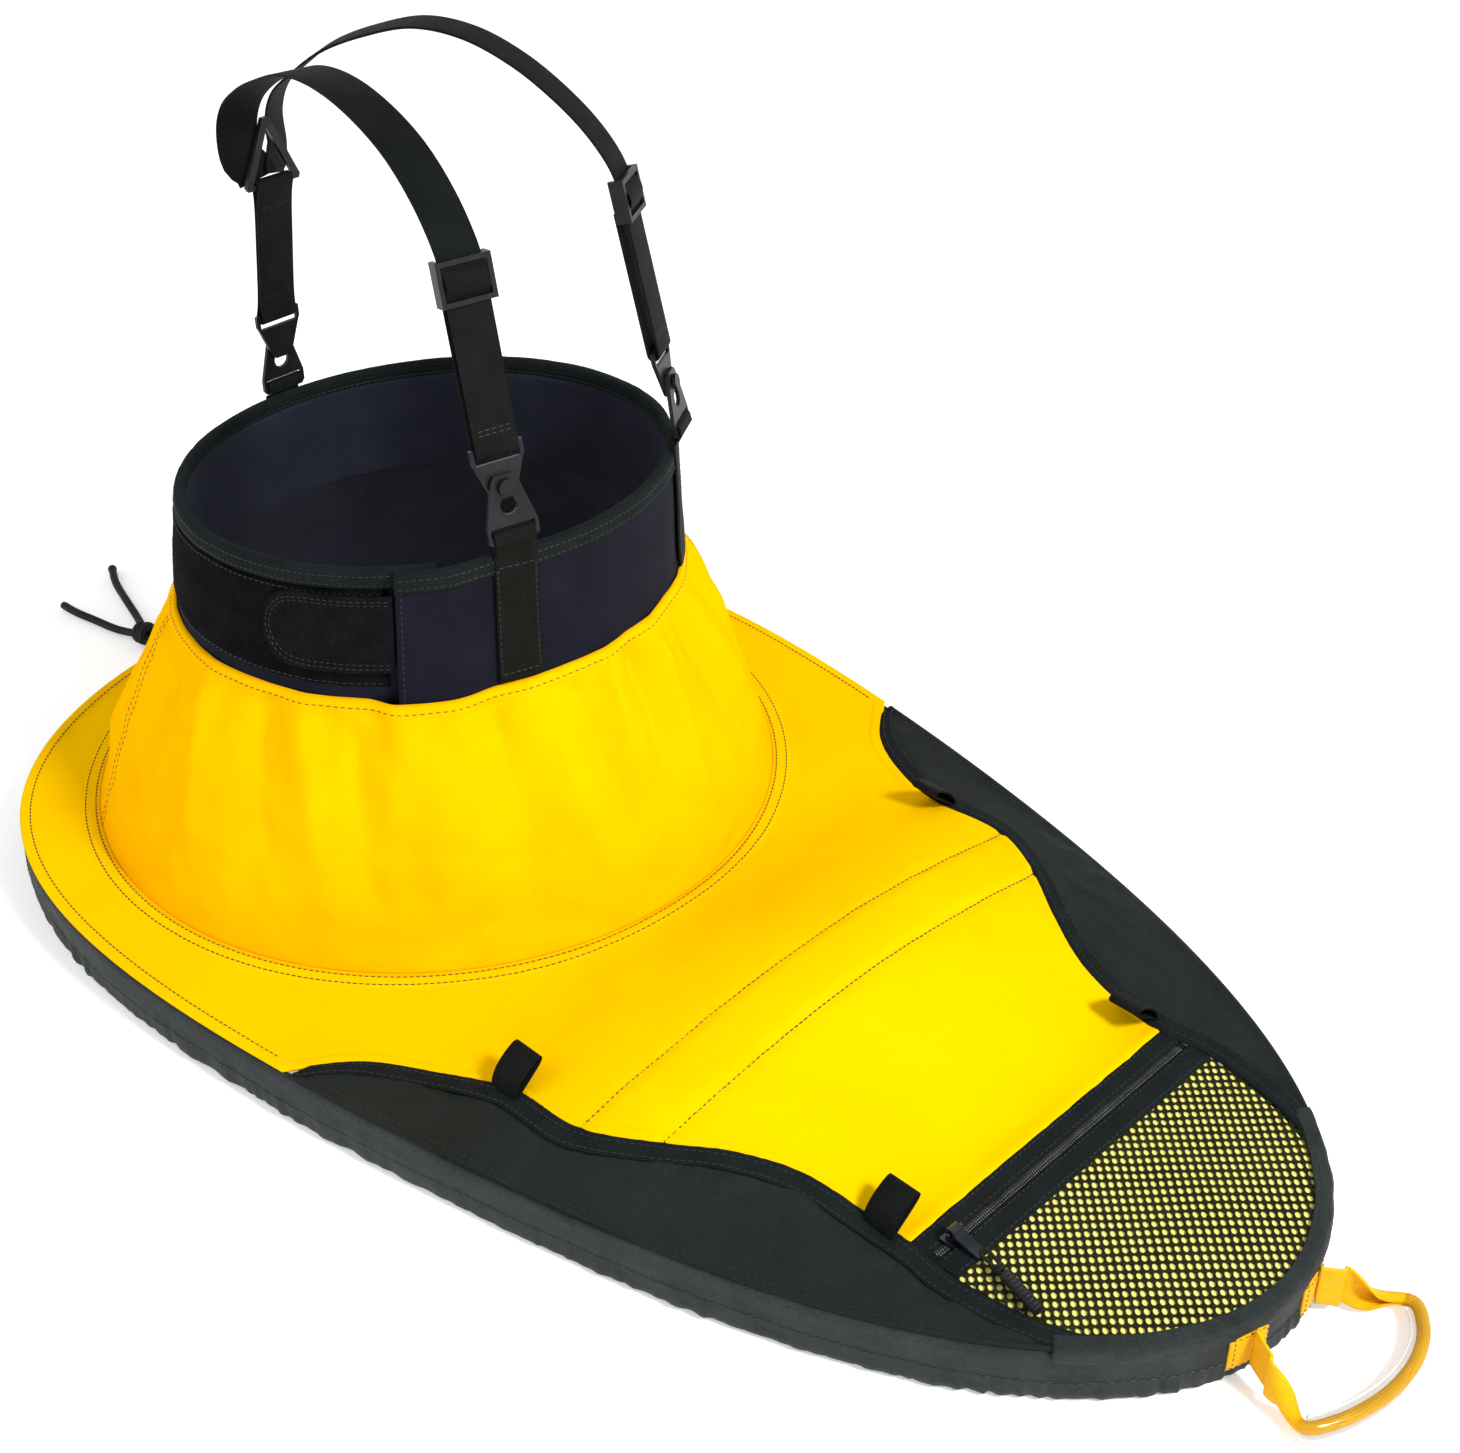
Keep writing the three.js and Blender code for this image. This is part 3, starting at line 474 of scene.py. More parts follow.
def ribbed(name, dark, light, roughness=0.7, rib=1.7, pick=1.1, depth=0.25, **sockets):
    """Webbing: ribs along its length (UV y), picks across."""
    material = shader(name, light, roughness, **sockets)
    uv = coordinates(material)
    ribs = bands(material, uv, "X", rib)
    picks = bands(material, uv, "Y", pick)
    fine = noise_node(material, uv, 500, 3)
    slow = noise_node(material, uv, 40, 2)
    paint(material, weighted(material, (ribs, 0.35), (slow, 0.65)), dark, light, 0.25, 0.75)
    relief(material, weighted(material, (ribs, 1), (picks, 0.35), (fine, 0.5)), depth)
    return material


def moulded(name, dark, light, roughness=0.42, grain=900, depth=0.04, **sockets):
    """Plastic, rubber or metal with a fine skin and slight scuffs; reads object coordinates."""
    material = shader(name, light, roughness, **sockets)
    place = coordinates(material, "Object")
    fine = noise_node(material, place, grain, 4)
    slow = noise_node(material, place, 60, 3)
    paint(material, slow, dark, light, 0.35, 0.68)
    relief(material, fine, depth)
    return material


YELLOW = woven("deck_yellow", (0.90, 0.525, 0.0), (0.98, 0.60, 0.0), 0.7, 0.7, 0.07, 9, 420, specular=0.0)
TUNNEL = woven("tunnel_yellow", (0.90, 0.43, 0.0), (0.98, 0.52, 0.0), 0.8, 0.6, 0.06, 12, 480, specular=0.0)
POCKET_YELLOW = woven("pocket_yellow", (0.92, 0.82, 0.18), (0.99, 0.90, 0.28), 0.7, 0.7, 0.07, 9, 420, specular=0.05)
BLACK = woven("side_black", (0.007, 0.010, 0.009), (0.015, 0.020, 0.018), 0.72, 1.0, 0.2, 14, 300, specular=0.12)
RAND = woven("rand_black", (0.008, 0.012, 0.012), (0.024, 0.031, 0.031), 0.6, 1.2, 0.3, 30, 240, specular=0.2)
TAPE = ribbed("binding_black", (0.005, 0.007, 0.008), (0.012, 0.016, 0.016), 0.8, 1.1, 0.9, 0.12, specular=0.06)
WEB = ribbed("webbing_black", (0.0015, 0.0025, 0.0025), (0.006, 0.008, 0.0075), 0.7, 1.35, 1.1, 0.18, specular=0.1)
GOLD_WEB = ribbed("webbing_yellow", (0.82, 0.38, 0.0), (0.95, 0.50, 0.0), 0.6, 1.6, 1.0, 0.28, specular=0.15)
NEOPRENE = woven("neoprene_navy", (0.004, 0.005, 0.011), (0.009, 0.010, 0.020), 0.9, 0.8, 0.08, 26, 600, specular=0.1)
LINING = woven("lining_navy", (0.013, 0.015, 0.026), (0.020, 0.022, 0.036), 0.9, 0.8, 0.08, 26, 600, specular=0.1)
PILE = woven("loop_pile", (0.001, 0.001, 0.0015), (0.007, 0.007, 0.009), 0.95, 2.2, 0.5, 60, 900, specular=0.04)
HOOKS_MAT = woven("hook_tape", (0.002, 0.002, 0.003), (0.008, 0.008, 0.010), 0.8, 1.7, 0.5, 70, 700, specular=0.05)
MESH = woven("mesh_thread", (0.006, 0.007, 0.002), (0.026, 0.028, 0.006), 0.8, 0.5, 0.1, 40, 800, specular=0.1)
ELASTIC = ribbed("elastic_braid", (0.005, 0.006, 0.005), (0.022, 0.026, 0.022), 0.75, 1.2, 1.0, 0.25, specular=0.2)
PLASTIC = moulded("black_acetal", (0.003, 0.0035, 0.004), (0.009, 0.010, 0.011), 0.38, specular=0.25)
METAL = moulded("dark_zinc", (0.09, 0.095, 0.11), (0.24, 0.245, 0.26), 0.28, Metallic=1.0)
COATED = moulded("coated_metal", (0.018, 0.022, 0.030), (0.045, 0.052, 0.066), 0.38, Metallic=0.6)
TEETH = moulded("zip_teeth", (0.012, 0.013, 0.015), (0.05, 0.052, 0.055), 0.25)
RUBBER = moulded("grip_rubber", (0.004, 0.004, 0.005), (0.011, 0.011, 0.012), 0.6, specular=0.3)
BATTEN = moulded("stay_plastic", (0.74, 0.74, 0.72), (0.84, 0.84, 0.82), 0.4)
THREAD = shader("thread_dark", (0.055, 0.030, 0.008), 0.7)
THREAD_BLACK = shader("thread_black", (0.004, 0.005, 0.006), 0.55)
THREAD_GREY = shader("thread_grey", (0.010, 0.012, 0.013), 0.5)
CLEAR = moulded("clear_vinyl", (0.93, 0.95, 0.96), (0.98, 0.99, 1.0), 0.06, 300, 0.05,
                Transmission_Weight=1.0, IOR=1.35)


# ---- camera
AZ, EL, ROLL = radians(44.936), radians(34.403), radians(-0.834)
right = V(cos(AZ), sin(AZ))
back = V(sin(AZ) * cos(EL), -cos(AZ) * cos(EL), sin(EL))
up = back.cross(right)
right, up = right * cos(ROLL) + up * sin(ROLL), up * cos(ROLL) - right * sin(ROLL)
SENSOR_MM, FOCAL_PX, PHOTO_WIDTH_PX = 36, 2178, 1460
AIM, DISTANCE = Vector((-0.0519, 0.0916, 0.1)), 1.3463
camera_data = bpy.data.cameras.new("camera")
camera_data.sensor_width = SENSOR_MM
camera_data.lens = FOCAL_PX / PHOTO_WIDTH_PX * SENSOR_MM
camera_data.clip_start = 0.05
camera = bpy.data.objects.new("camera", camera_data)
SCENE.collection.objects.link(camera)
turn = Matrix((right, up, back)).transposed().to_4x4()
camera.matrix_world = Matrix.Translation(AIM + back * DISTANCE) @ turn
SCENE.camera = camera

# ---- free ends of the hem elastic
# The elastic leaves the hem at HEM_END, and its two ends lie on the floor along ROUTES.
HEM_END = outline(radians(176), 5.9)
KNOT = V(-547, -25, 8.6)
ROUTES = {
    "left": [(HEM_END.x - 0.6, HEM_END.y - 1.2, 5.4), (-479.2, 18, 5.4), (-487, 8, 5.4), (-500, -2, 5.4),
             (-516, -10, 5.4), (-531, -17, 5.4), (-541, -21, 7.4), (-549, -22.2, 8), (-556.5, -20.8, 6.2),
             (-580, -12.5, 3.8), (-610, -3.6, 3.3), (-637, 5, 3.2), (-657, 14.6, 3.2)],
    "right": [(HEM_END.x - 0.6, 1.2 - HEM_END.y, 5.4), (-478.2, -19, 5.4), (-486, -14.6, 5.4), (-498, -15, 5.4),
              (-514, -19.6, 5.4), (-531, -26, 5.4), (-541, -28.6, 7.6), (-549, -28.8, 8), (-556.5, -28.6, 6),
              (-575, -33, 3.8), (-600, -37, 3.3), (-620, -40.4, 3.2), (-636, -41.4, 3.2)],
}


def knot_turns(radius, turns, reach):
    """Wraps of the cord round the bundle, seen as the knot."""
    axis = V(-0.96, -0.12, 0).normalized()
    side = V(-axis.y, axis.x, 0)
    points = []
    steps = int(26 * turns)
    for i in range(steps + 1):
        a = 2 * pi * turns * i / steps
        along = lerp(-reach, reach, i / steps) + 1.4 * sin(a)
        round_it = side * (radius * 1.12 * cos(a)) + UP * (radius * 0.82 * sin(a))
        points.append(KNOT + axis * along + round_it)
    return points


knot_piece = tube("hem_knot", knot_turns(6.4, 2.3, 4.4), 2.7, ELASTIC, "skirt", 14)
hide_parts("cord_knot")
for name, route in ROUTES.items():
    line = Spline(route).spaced(46)
    cord_piece = tube(f"hem_cord_{name}", line, 2.95, ELASTIC, "skirt", 14)
    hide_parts(f"cord_lead_{name}", f"cord_tail_{name}")
    end, direction = line[-1], (line[-1] - line[-2]).normalized()
    flare = 1.12 if name == "left" else 0.96
    tip = tube(f"hem_cord_tip_{name}", [end + direction * d for d in (-3, -1.5, 0.3, 0.9)],
               [3.02, 3.1 * flare, 3.0 * flare, 1.6], RUBBER, "skirt", 14)
    run_length(line) * MM

# ---- deck cloth
def deck_edge():
    half = [V(DECK_FRONT, DECK_FRONT_HALF * i / 18) for i in range(18)]
    half += [SEAM.at(AT_ZIP * (1 - i / 96)) for i in range(96)]
    start = angle_at(PANEL_START)
    half += [outline(lerp(start, pi, i / 120)) for i in range(121)]
    return half + [V(p.x, -p.y) for p in reversed(half[1:-1])]


def deck_relief(x, y, edge):
    """Cloth thickness and drape: seams pulled in, the stay raised, long soft waves."""
    long_waves = 1.1 * rough(x / 150, y / 95, 3.1) + 0.45 * rough(x / 42, y / 38, 7.7)
    sleeve = smooth(x, STAY_X - 21, STAY_X - 14) * (1 - smooth(x, STAY_X + 14, STAY_X + 21)) * 0.8
    pinch = sum(0.7 * exp(-((x - at) / 2.2) ** 2) for at in SLEEVE_SEAMS)
    near = sum(exp(-((x - at) / 8) ** 2) for at in SLEEVE_SEAMS)
    pucker = 0.35 * rough(x / 9, y / 9, 1.2, 2) * near
    return (long_waves + pucker) * edge + sleeve - pinch


DECK_EDGE = deck_edge()


def deck_point(u, v):
    outer = DECK_EDGE[round(u * len(DECK_EDGE)) % len(DECK_EDGE)]
    inner = ellipse(*FOOT, atan2(outer.y, outer.x - FOOT[0]), 0.4)
    p = inner.lerp(outer, v)
    reach = (outer - inner).length
    near_foot, near_edge = v * reach, (1 - v) * reach
    edge = smooth(near_foot, 0, 25) * smooth(near_edge, 0, 16)
    seam = 0.7 * (1 - smooth(near_foot, 8.5, 10.5))
    hem = 0.6 * (1 - smooth(near_edge, 6.5, 8.5)) * (1 - smooth(near_edge, 1.5, 0.2))
    raised = seam * smooth(near_foot, 0, 1.5) + hem + deck_relief(p.x, p.y, edge)
    return V(p.x, p.y, deck_z(p.x, p.y) + raised)


def flat_xy(place):
    def uv(u, v):
        p = place(u, v)
        return p.x, p.y
    return uv


deck = grid("deck_cloth", len(DECK_EDGE), 110, deck_point, flat_xy(deck_point), YELLOW, "skirt",
            closed_u=True, thick=1.3, face="up")
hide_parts("deck_panel")


def on_deck(x, y, lift=0.05):
    """A point on the deck cloth and its normal."""
    e = 1.5
    z = deck_z(x, y) + deck_relief(x, y, 1)
    dx = deck_z(x + e, y) - deck_z(x - e, y)
    dy = deck_z(x, y + e) - deck_z(x, y - e)
    return V(x, y, z + lift), V(-dx / (2 * e), -dy / (2 * e), 1).normalized()


runs = [[on_deck(x, y) for y in range(-reach, reach + 1, 4)] for x, reach in zip(SLEEVE_SEAMS, (174, 154))]
for out, lift in ((2.5, 0.72), (9.0, 0.6)):
    ring = []
    for i in range(241):
        p = ellipse(*FOOT, 2 * pi * i / 240, out)
        ring.append((V(p.x, p.y, deck_z(p.x, p.y) + lift), UP))
    runs.append(ring)
for side in (1, -1):
    run = []
    for i in range(150):
        p = outline(lerp(angle_at(PANEL_START) + 0.02, pi, i / 149), 6.5)
        run.append((V(p.x, side * p.y, DECK_Z + 0.55), UP))
    runs.append(run)
stitches("deck_thread", dropped(runs, deck), THREAD, "skirt", 2.8, 0.9, 0.95, 0.3)


def sleeve_point(u, v):
    x, y = lerp(98.5, 139.5, v), lerp(-151, 151, u)
    return V(x, y, deck_z(x, y) - 4.0 - 4 * sin(pi * v) ** 0.6 + 0.3 * rough(u * 20, v * 4, 2.2))


sleeve = grid("stay_sleeve_cloth", 90, 16, sleeve_point, span(300, 42), YELLOW, "skirt",
              thick=1.0, face="down")
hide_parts("stay_sleeve")


# ---- side panels and their binding
def side_point(side):
    def place(u, v):
        seam = SEAM.at(lerp(0.022, SEAM_END, u))
        y = lerp(seam.y + 0.3, half_width(seam.x) - 0.2, v)
        wide = half_width(seam.x) - seam.y
        inner, outer = v * wide, (1 - v) * wide
        fade = smooth(inner, 0, 14) * smooth(outer, 0, 10)
        pucker = 0.7 * rough(seam.x / 8, side * y / 26, 4.2, 2) * (exp(-inner / 16) + exp(-outer / 10))
        wave = 1.5 * rough(seam.x / 60, side * y / 40, 5.5) + 0.6 * rough(seam.x / 20, side * y / 18, 9.1)
        bead = 0.8 * exp(-((outer - 2.2) / 1.6) ** 2)
        return V(seam.x, side * y, deck_z(seam.x, y) + (wave + pucker) * fade + bead)
    return place


def binding_point(side, offset, lift):
    def at(u):
        seam = SEAM.at(lerp(0.03, 0.955, u))
        room = half_width(seam.x) - seam.y - 0.6
        y = seam.y + min(offset, max(room, 1))
        return V(seam.x, side * y, deck_z(seam.x, y) + lift)
    return at


for name, side in BOTH:
    place = side_point(side)
    panel = grid(f"side_cloth_{name}", 170, 26, place, flat_xy(place), BLACK, "skirt",
                 thick=1.3, face="up")
    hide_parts(f"side_panel_{name}")

    def tape(u, v, side=side):
        crown = 1.25 * (1 - abs(2 * v - 1) ** 6)
        p = binding_point(side, -1.8 + 13.8 * v, 0.35 + crown)(u)
        p.z += 0.18 * rough(u * 90, v * 3, side * 2.0, 2)
        return p

    strip = grid(f"seam_tape_{name}", 300, 10, tape, turned(12, 560), TAPE, "skirt",
                 thick=0.9, face="up")
    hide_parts(f"seam_binding_{name}")
    rows = []
    for offset in (2.6, 10.0):
        at = binding_point(side, offset, 1.62)
        rows.append([(at(i / 200), UP) for i in range(201)])
    stitches(f"seam_thread_{name}", dropped(rows, strip), THREAD_GREY, "skirt", 2.6, 1.4, 0.6, 0.22)
    edge_row = []
    for i in range(160):
        u = lerp(0.05, 0.93, i / 159)
        seam = SEAM.at(lerp(0.022, SEAM_END, u))
        y = half_width(seam.x) - 5
        edge_row.append((V(seam.x, side * y, deck_z(seam.x, y) + 0.5), UP))
    stitches(f"edge_thread_{name}", dropped([edge_row], panel), THREAD_GREY, "skirt", 2.8, 1.6, 0.6, 0.3)


# ---- rand and gathered hem
def gather(angle, z):
    """How far the cloth stands out where the elastic draws it in: short folds near the foot."""
    a = angle * 57.3
    fold = sin(a * 1.75 + 7.0 * rough(a / 9, 0.4)) + 0.7 * sin(a * 2.9 + 6.0 * rough(a / 6, 4.4))
    strength = 0.35 + 0.45 * clamp(0.5 + rough(a / 11, 2.7))
    low = 1 - smooth(z, 6, 27)
    return strength * fold * low + 0.9 * rough(a / 17, z / 30, 8.1)


def hem_frame(angle, n, z):
    p = outline(angle, -n)
    return V(p.x, p.y, z)


JOINS = (-26, 26, 180, -180)  # the rand's upright seams, in degrees round the deck
MM_PER_DEGREE = 7.9


def wall_point(u, v):
    angle = lerp(-pi, pi, u)
    z = lerp(12.5, RAND_TOP + 0.6, v)
    roll = -2.2 * smooth(z, RAND_TOP - 1.5, RAND_TOP + 0.6)
    seam = 0.0
    for at in JOINS:
        gap = (in_degrees(angle) - at) * MM_PER_DEGREE
        seam += 0.7 * exp(-(gap / 1.4) ** 2)
    return hem_frame(angle, 0.1 + roll + gather(angle, z) * smooth(z, RAND_TOP + 1, RAND_TOP - 8) + seam, z)


PERIMETER = 2330
wall = grid("rand_wall", 900, 9, wall_point, span(PERIMETER, 24), RAND, "skirt",
            thick=1.3, face="out")
CASING = [(0, 15), (0.1, 10), (0, 6), (-1, 2.4), (-4, 0.2), (-8, 0.2), (-10.6, 1.8), (-11.6, 5), (-10.8, 9.4),
          (-8.4, 11.8), (-3.2, 12.2), (-2.2, 15)]
HEM_GAP_DEG = 3.4  # the casing stops this far from the rear, where the elastic comes out


def casing_point(u, v):
    half = radians(180 - HEM_GAP_DEG)
    angle = lerp(-half, half, u)
    n, z = on_cut(CASING, v)
    swell = gather(angle, z) * smooth(abs(n + 6), 1.5, 5)
    high = max(z + 0.35 * gather(angle, 0) * smooth(z, 3, 9), 0.12)
    return hem_frame(angle, n + 0.25 + (swell if n > -6 else -0.6 * swell), high)


casing = grid("hem_casing", 1000, 24, casing_point, span(PERIMETER, 52), RAND, "skirt",
              closed_v=True, smooth_angle=75)
outward(casing)
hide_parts("rand_left", "rand_right", "rand_nose")
hem_row, top_row = [], []
for i in range(901):
    angle = lerp(-pi, pi, i / 900)
    out = outline(angle, -10) - outline(angle, 0)
    hem_row.append((hem_frame(angle, 0.35 + gather(angle, 15.4), 15.4), out.normalized()))
    top_row.append((hem_frame(angle, 0.15 + gather(angle, 31) * 0.8, 31.0), out.normalized()))
stitches("hem_thread", [hem_row], THREAD_GREY, "skirt", 3.2, 1.8, 0.7, 0.3)
stitches("rand_top_thread", [top_row], THREAD_BLACK, "skirt", 3.2, 1.8, 0.6, 0.3)
HEM_CORD_POINTS = [hem_frame(radians(lerp(-175.6, 175.6, i / 500)), -5.9, 6.2) for i in range(501)]
hem_cord = tube("hem_elastic", HEM_CORD_POINTS, 2.8, ELASTIC, "skirt", 10)
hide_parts("hem_shock_cord")


# ---- bow pocket
def pocket_puff(x, y):
    """The net's slight crown over the pocket."""
    return exp(-((x - 355) / 45) ** 2) * exp(-(y / 70) ** 2) + 0.4 * rough(x / 35, y / 35, 6.0)


def nose_point(rear_x, from_seam, inset, drop, n=40):
    corner = angle_at(SEAM.at(SEAM_END).x + 1.5)

    def side(u):
        if u >= 1 - 1e-6:
            return outline(corner, inset)
        seam = SEAM.at(lerp(from_seam, SEAM_END, u * n / (n - 1)))
        return V(max(seam.x, rear_x), seam.y - 0.5 - inset * u)

    rear, front = side(0), side(1)

    def place(u, v):
        across = 2 * v - 1
        edge = side(u)
        arc = outline(corner * across, inset)
        x = edge.x + u * (arc.x - front.x)
        y = across * (edge.y - lerp(rear.y, front.y, u)) + lerp(rear.y * across, arc.y, u)
        fade = smooth(u, 0, 0.15) * smooth(u, 1, 0.9) * smooth(v, 0, 0.12) * smooth(v, 1, 0.88)
        return V(x, y, deck_z(x, y) + drop + fade * pocket_puff(x, y))
    return place


floor_place = nose_point(267.6, AT_ZIP, 2.8, -1.0)
nose = grid("pocket_floor", 40, 60, floor_place, flat_xy(floor_place), POCKET_YELLOW, "skirt",
            thick=1.2, face="up")
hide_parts("nose_panel")

POCKET_SIDE = [SEAM.at(lerp(AT_POCKET, SEAM_END, i / 60)) for i in range(61)]
NOSE_ARC = [outline(radians(40) * i / 200, 2.0) for i in range(201)]


def pocket_limit(x, y):
    """Keeps a point of the mesh inside the pocket."""
    s = 1 if y >= 0 else -1
    y = abs(y)
    x = max(x, POCKET_X + 0.2)
    if x <= POCKET_SIDE[-1].x:
        for a, b in zip(POCKET_SIDE, POCKET_SIDE[1:]):
            if a.x <= x <= b.x:
                y = min(y, lerp(a.y, b.y, (x - a.x) / max(b.x - a.x, 1e-6)) - 0.6)
                break
    y = min(y, NOSE_ARC[-1].y)
    for a, b in zip(NOSE_ARC, NOSE_ARC[1:]):
        if a.y <= y <= b.y:
            x = min(x, lerp(a.x, b.x, (y - a.y) / max(b.y - a.y, 1e-6)))
            break
    return x, s * y


def pocket_mesh(across=4.3, along=5.5, hole=(1.62, 2.12)):
    """Warp-knit net: its rows run at 45 degrees to the skirt, and each cell is an oblong with an oval hole."""
    a, b = V(1, 1).normalized(), V(-1, 1).normalized()
    verts, faces, uvs, known = [], [], [], {}

    def vertex(p, dip):
        x, y = pocket_limit(p.x, p.y)
        key = (round(x, 2), round(y, 2), dip)
        if key not in known:
            known[key] = len(verts)
            verts.append(V(x, y, deck_z(x, y) + pocket_puff(x, y) - dip))
        return known[key]

    square = [(-1, -1), (0, -1), (1, -1), (1, 0), (1, 1), (0, 1), (-1, 1), (-1, 0)]
    rim = []
    for (x0, y0), (x1, y1) in zip(square, square[1:] + square[:1]):
        rim += [(x0, y0), ((x0 + x1) / 2, (y0 + y1) / 2)]
    reach = 32
    for i in range(-reach, reach + 1):
        for j in range(-reach, reach + 1):
            centre = V(352, 0) + a * (i * across) + b * (j * along)
            lx, ly = pocket_limit(centre.x, centre.y)
            if hypot(lx - centre.x, ly - centre.y) > 1.2:
                continue
            outer, inner = [], []
            for x, y in rim:
                outer.append(vertex(centre + a * (x * across / 2) + b * (y * along / 2), 0.0))
                turn = atan2(y, x)
                inner.append(vertex(centre + a * (hole[0] * cos(turn)) + b * (hole[1] * sin(turn)), 0.3))
            for k in range(16):
                quad = [outer[k], outer[(k + 1) % 16], inner[(k + 1) % 16], inner[k]]
                if len(set(quad)) == 4:
                    faces.append(quad)
                    uvs.append([(verts[c].x, verts[c].y) for c in quad])
    made = new_object("pocket_net", verts, faces, uvs, MESH, "skirt", 80)
    solid = made.modifiers.new("thickness", "SOLIDIFY")
    solid.thickness = 0.45 * MM
    solid.offset = 0
    return made


net = pocket_mesh()
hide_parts("pocket_mesh")
EDGE_CUT = [(-8.6, 38.9), (-8.2, 39.7), (-3, 39.8), (0.3, 39.3), (1.5, 37.4), (1.7, 34), (1.5, 30.5)]


def nose_edge(u, v):
    """The rand's cloth turned over the pocket's front edge."""
    corner = angle_at(SEAM.at(SEAM_END).x + 1.5)
    angle = lerp(-corner - 0.05, corner + 0.05, u)
    n, z = on_cut(EDGE_CUT, v, closed=False)
    wave = 0.35 * rough(u * 16, v * 2, 3.3)
    return hem_frame(angle, n + wave, z + wave)


edge = grid("pocket_edge", 120, 18, nose_edge, span(230, 20), RAND, "skirt",
            thick=0.8, face="out")
edge_run = [(hem_frame(lerp(-0.42, 0.42, i / 120), -5.2, 40.2), UP) for i in range(121)]
stitches("pocket_edge_thread", dropped([edge_run], edge), THREAD_GREY, "skirt", 2.8, 1.6, 0.6, 0.25)

for name, low, high, half_y in (("rear", 266.0, 278.6, 107.4), ("front", 283.4, 298.4, 107.8)):
    def tape(u, v, low=low, high=high, half_y=half_y):
        x = lerp(low, high, v)
        y = lerp(-half_y, half_y, u)
        fold = 0.5 * (1 - abs(2 * v - 1) ** 5)
        return V(x, y, deck_z(x, y) + 0.25 + fold + 0.25 * rough(y / 14, x / 9, 2.0, 2))
    strip = grid(f"zip_tape_cloth_{name}", 120, 10, tape, turned(13, 2 * half_y), TAPE, "skirt",
                 thick=1.0, face="up")
    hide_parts(f"zip_tape_{name}")
    rows = []
    for x in (low + 2.4, high - 2.2):
        rows.append([(V(x, y, deck_z(x, y) + 0.82), UP) for y in range(-104, 105, 4)])
    stitches(f"zip_thread_{name}", rows, THREAD_GREY, "skirt", 2.4, 1.4, 0.55, 0.2)


def zip_teeth():
    """Two rows of coil turns, hooked into each other."""
    verts, faces = [], []
    pitch, ring, sides = 1.5, 12, 5
    for side in (-1, 1):
        count = int(206 / pitch)
        for i in range(count):
            y = -103 + (i + (0.5 if side > 0 else 0)) * pitch
            first = len(verts)
            for a in range(ring):
                t = 2 * pi * a / ring
                centre = V(ZIP_X + side * (0.85 - 1.45 * cos(t)), y, DECK_Z - 0.1 + 0.75 * sin(t))
                radial = V(-side * cos(t), 0, sin(t))
                for b in range(sides):
                    f = 2 * pi * b / sides
                    verts.append(centre + radial * (0.3 * cos(f)) + V(0, 0.42 * sin(f), 0))
            for a in range(ring):
                here, ahead = first + a * sides, first + (a + 1) % ring * sides
                for b in range(sides):
                    c = (b + 1) % sides
                    faces.append([here + b, here + c, ahead + c, ahead + b])
    return new_object("zip_coil_turns", verts, faces, None, TEETH, "skirt", 80)


teeth = zip_teeth()
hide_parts("zip_coil")
grid("zip_coil_cord", 60, 4, lambda u, v: V(lerp(276, 286, v), lerp(-107.4, 107.4, u), DECK_Z - 0.5),
     turned(10, 215), TAPE, "skirt", thick=0.5, face="up")


# ---- tunnel
# A ring of the band: middle x, half length, half width, height, and its slope along x.
BAND_TOP = (-211.0, 145.0, 147.0, 266.0, 0.0546)
BAND_FOOT = (-217.0, 151.0, 155.0, 183.0, 0.02)
BAND_TALL = BAND_TOP[3] - BAND_FOOT[3]
# The band's outer end lies over its inner one between these degrees, this far out.
OVERLAP_LIFT = 6.8
OVERLAP_FROM, OVERLAP_TO, BLEND_TO = -45.0, -35.0, -22.0
BAND_START, BAND_STOP = OVERLAP_FROM, 360 + OVERLAP_TO - 1.5


def band_lift(degrees):
    if degrees < OVERLAP_TO:
        return OVERLAP_LIFT
    return OVERLAP_LIFT * (1 - smooth(degrees, OVERLAP_TO, BLEND_TO))


def overlap_lift(signed):
    return OVERLAP_LIFT * smooth(signed, -52, OVERLAP_FROM) * (1 - smooth(signed, OVERLAP_TO, BLEND_TO))


def band_ring(h):
    return [lerp(BAND_FOOT[k], BAND_TOP[k], h) for k in range(3)]


def band_height(h, x):
    foot = BAND_FOOT[3] + BAND_FOOT[4] * (x - BAND_FOOT[0])
    top = BAND_TOP[3] + BAND_TOP[4] * (x - BAND_TOP[0])
    return lerp(foot, top, h)


def band_wave(degrees, h):
    a = radians(degrees)
    return 0.9 * rough(cos(a) * 1.6, sin(a) * 1.6, h * 0.8)


def along_band(degrees, h, out, rise=0.0):
    h = h + rise / BAND_TALL
    lift = band_lift(degrees) if degrees < 180 else 0.0
    wave = band_wave(degrees, h)
    p = ellipse(*band_ring(h), radians(degrees), lift + out + wave)
    return V(p.x, p.y, band_height(h, p.x))


# Folds of the tunnel: at this many degrees, this wide, this high (below 0, a hollow), drifting this far.
FOLDS = [
    (-152, 9, 2.2, 6), (-134, 7, -2.2, -5), (-118, 6, 2.8, -8), (-103, 5, -3.0, -6), (-92, 5, 3.0, 7),
    (-78, 6, -3.2, 9), (-66, 5, 3.0, 8), (-56, 4, -2.4, 6), (-40, 9, 2.2, 5), (-27, 5, -2.6, 4),
    (-17, 4, 3.2, 5), (-8, 4, -3.2, 3), (1, 4, 3.6, -3), (9, 3.5, -3.6, -3), (17, 3.5, 3.6, -4),
    (26, 4, -3.4, 4), (35, 5, 3.0, 5), (46, 7, -2.4, 4), (63, 8, 2.4, -6), (84, 9, -2.2, 5),
    (108, 10, 2.2, 6), (131, 9, -2.0, -5), (155, 9, 2.2, 6), (174, 8, -1.8, 4),
]


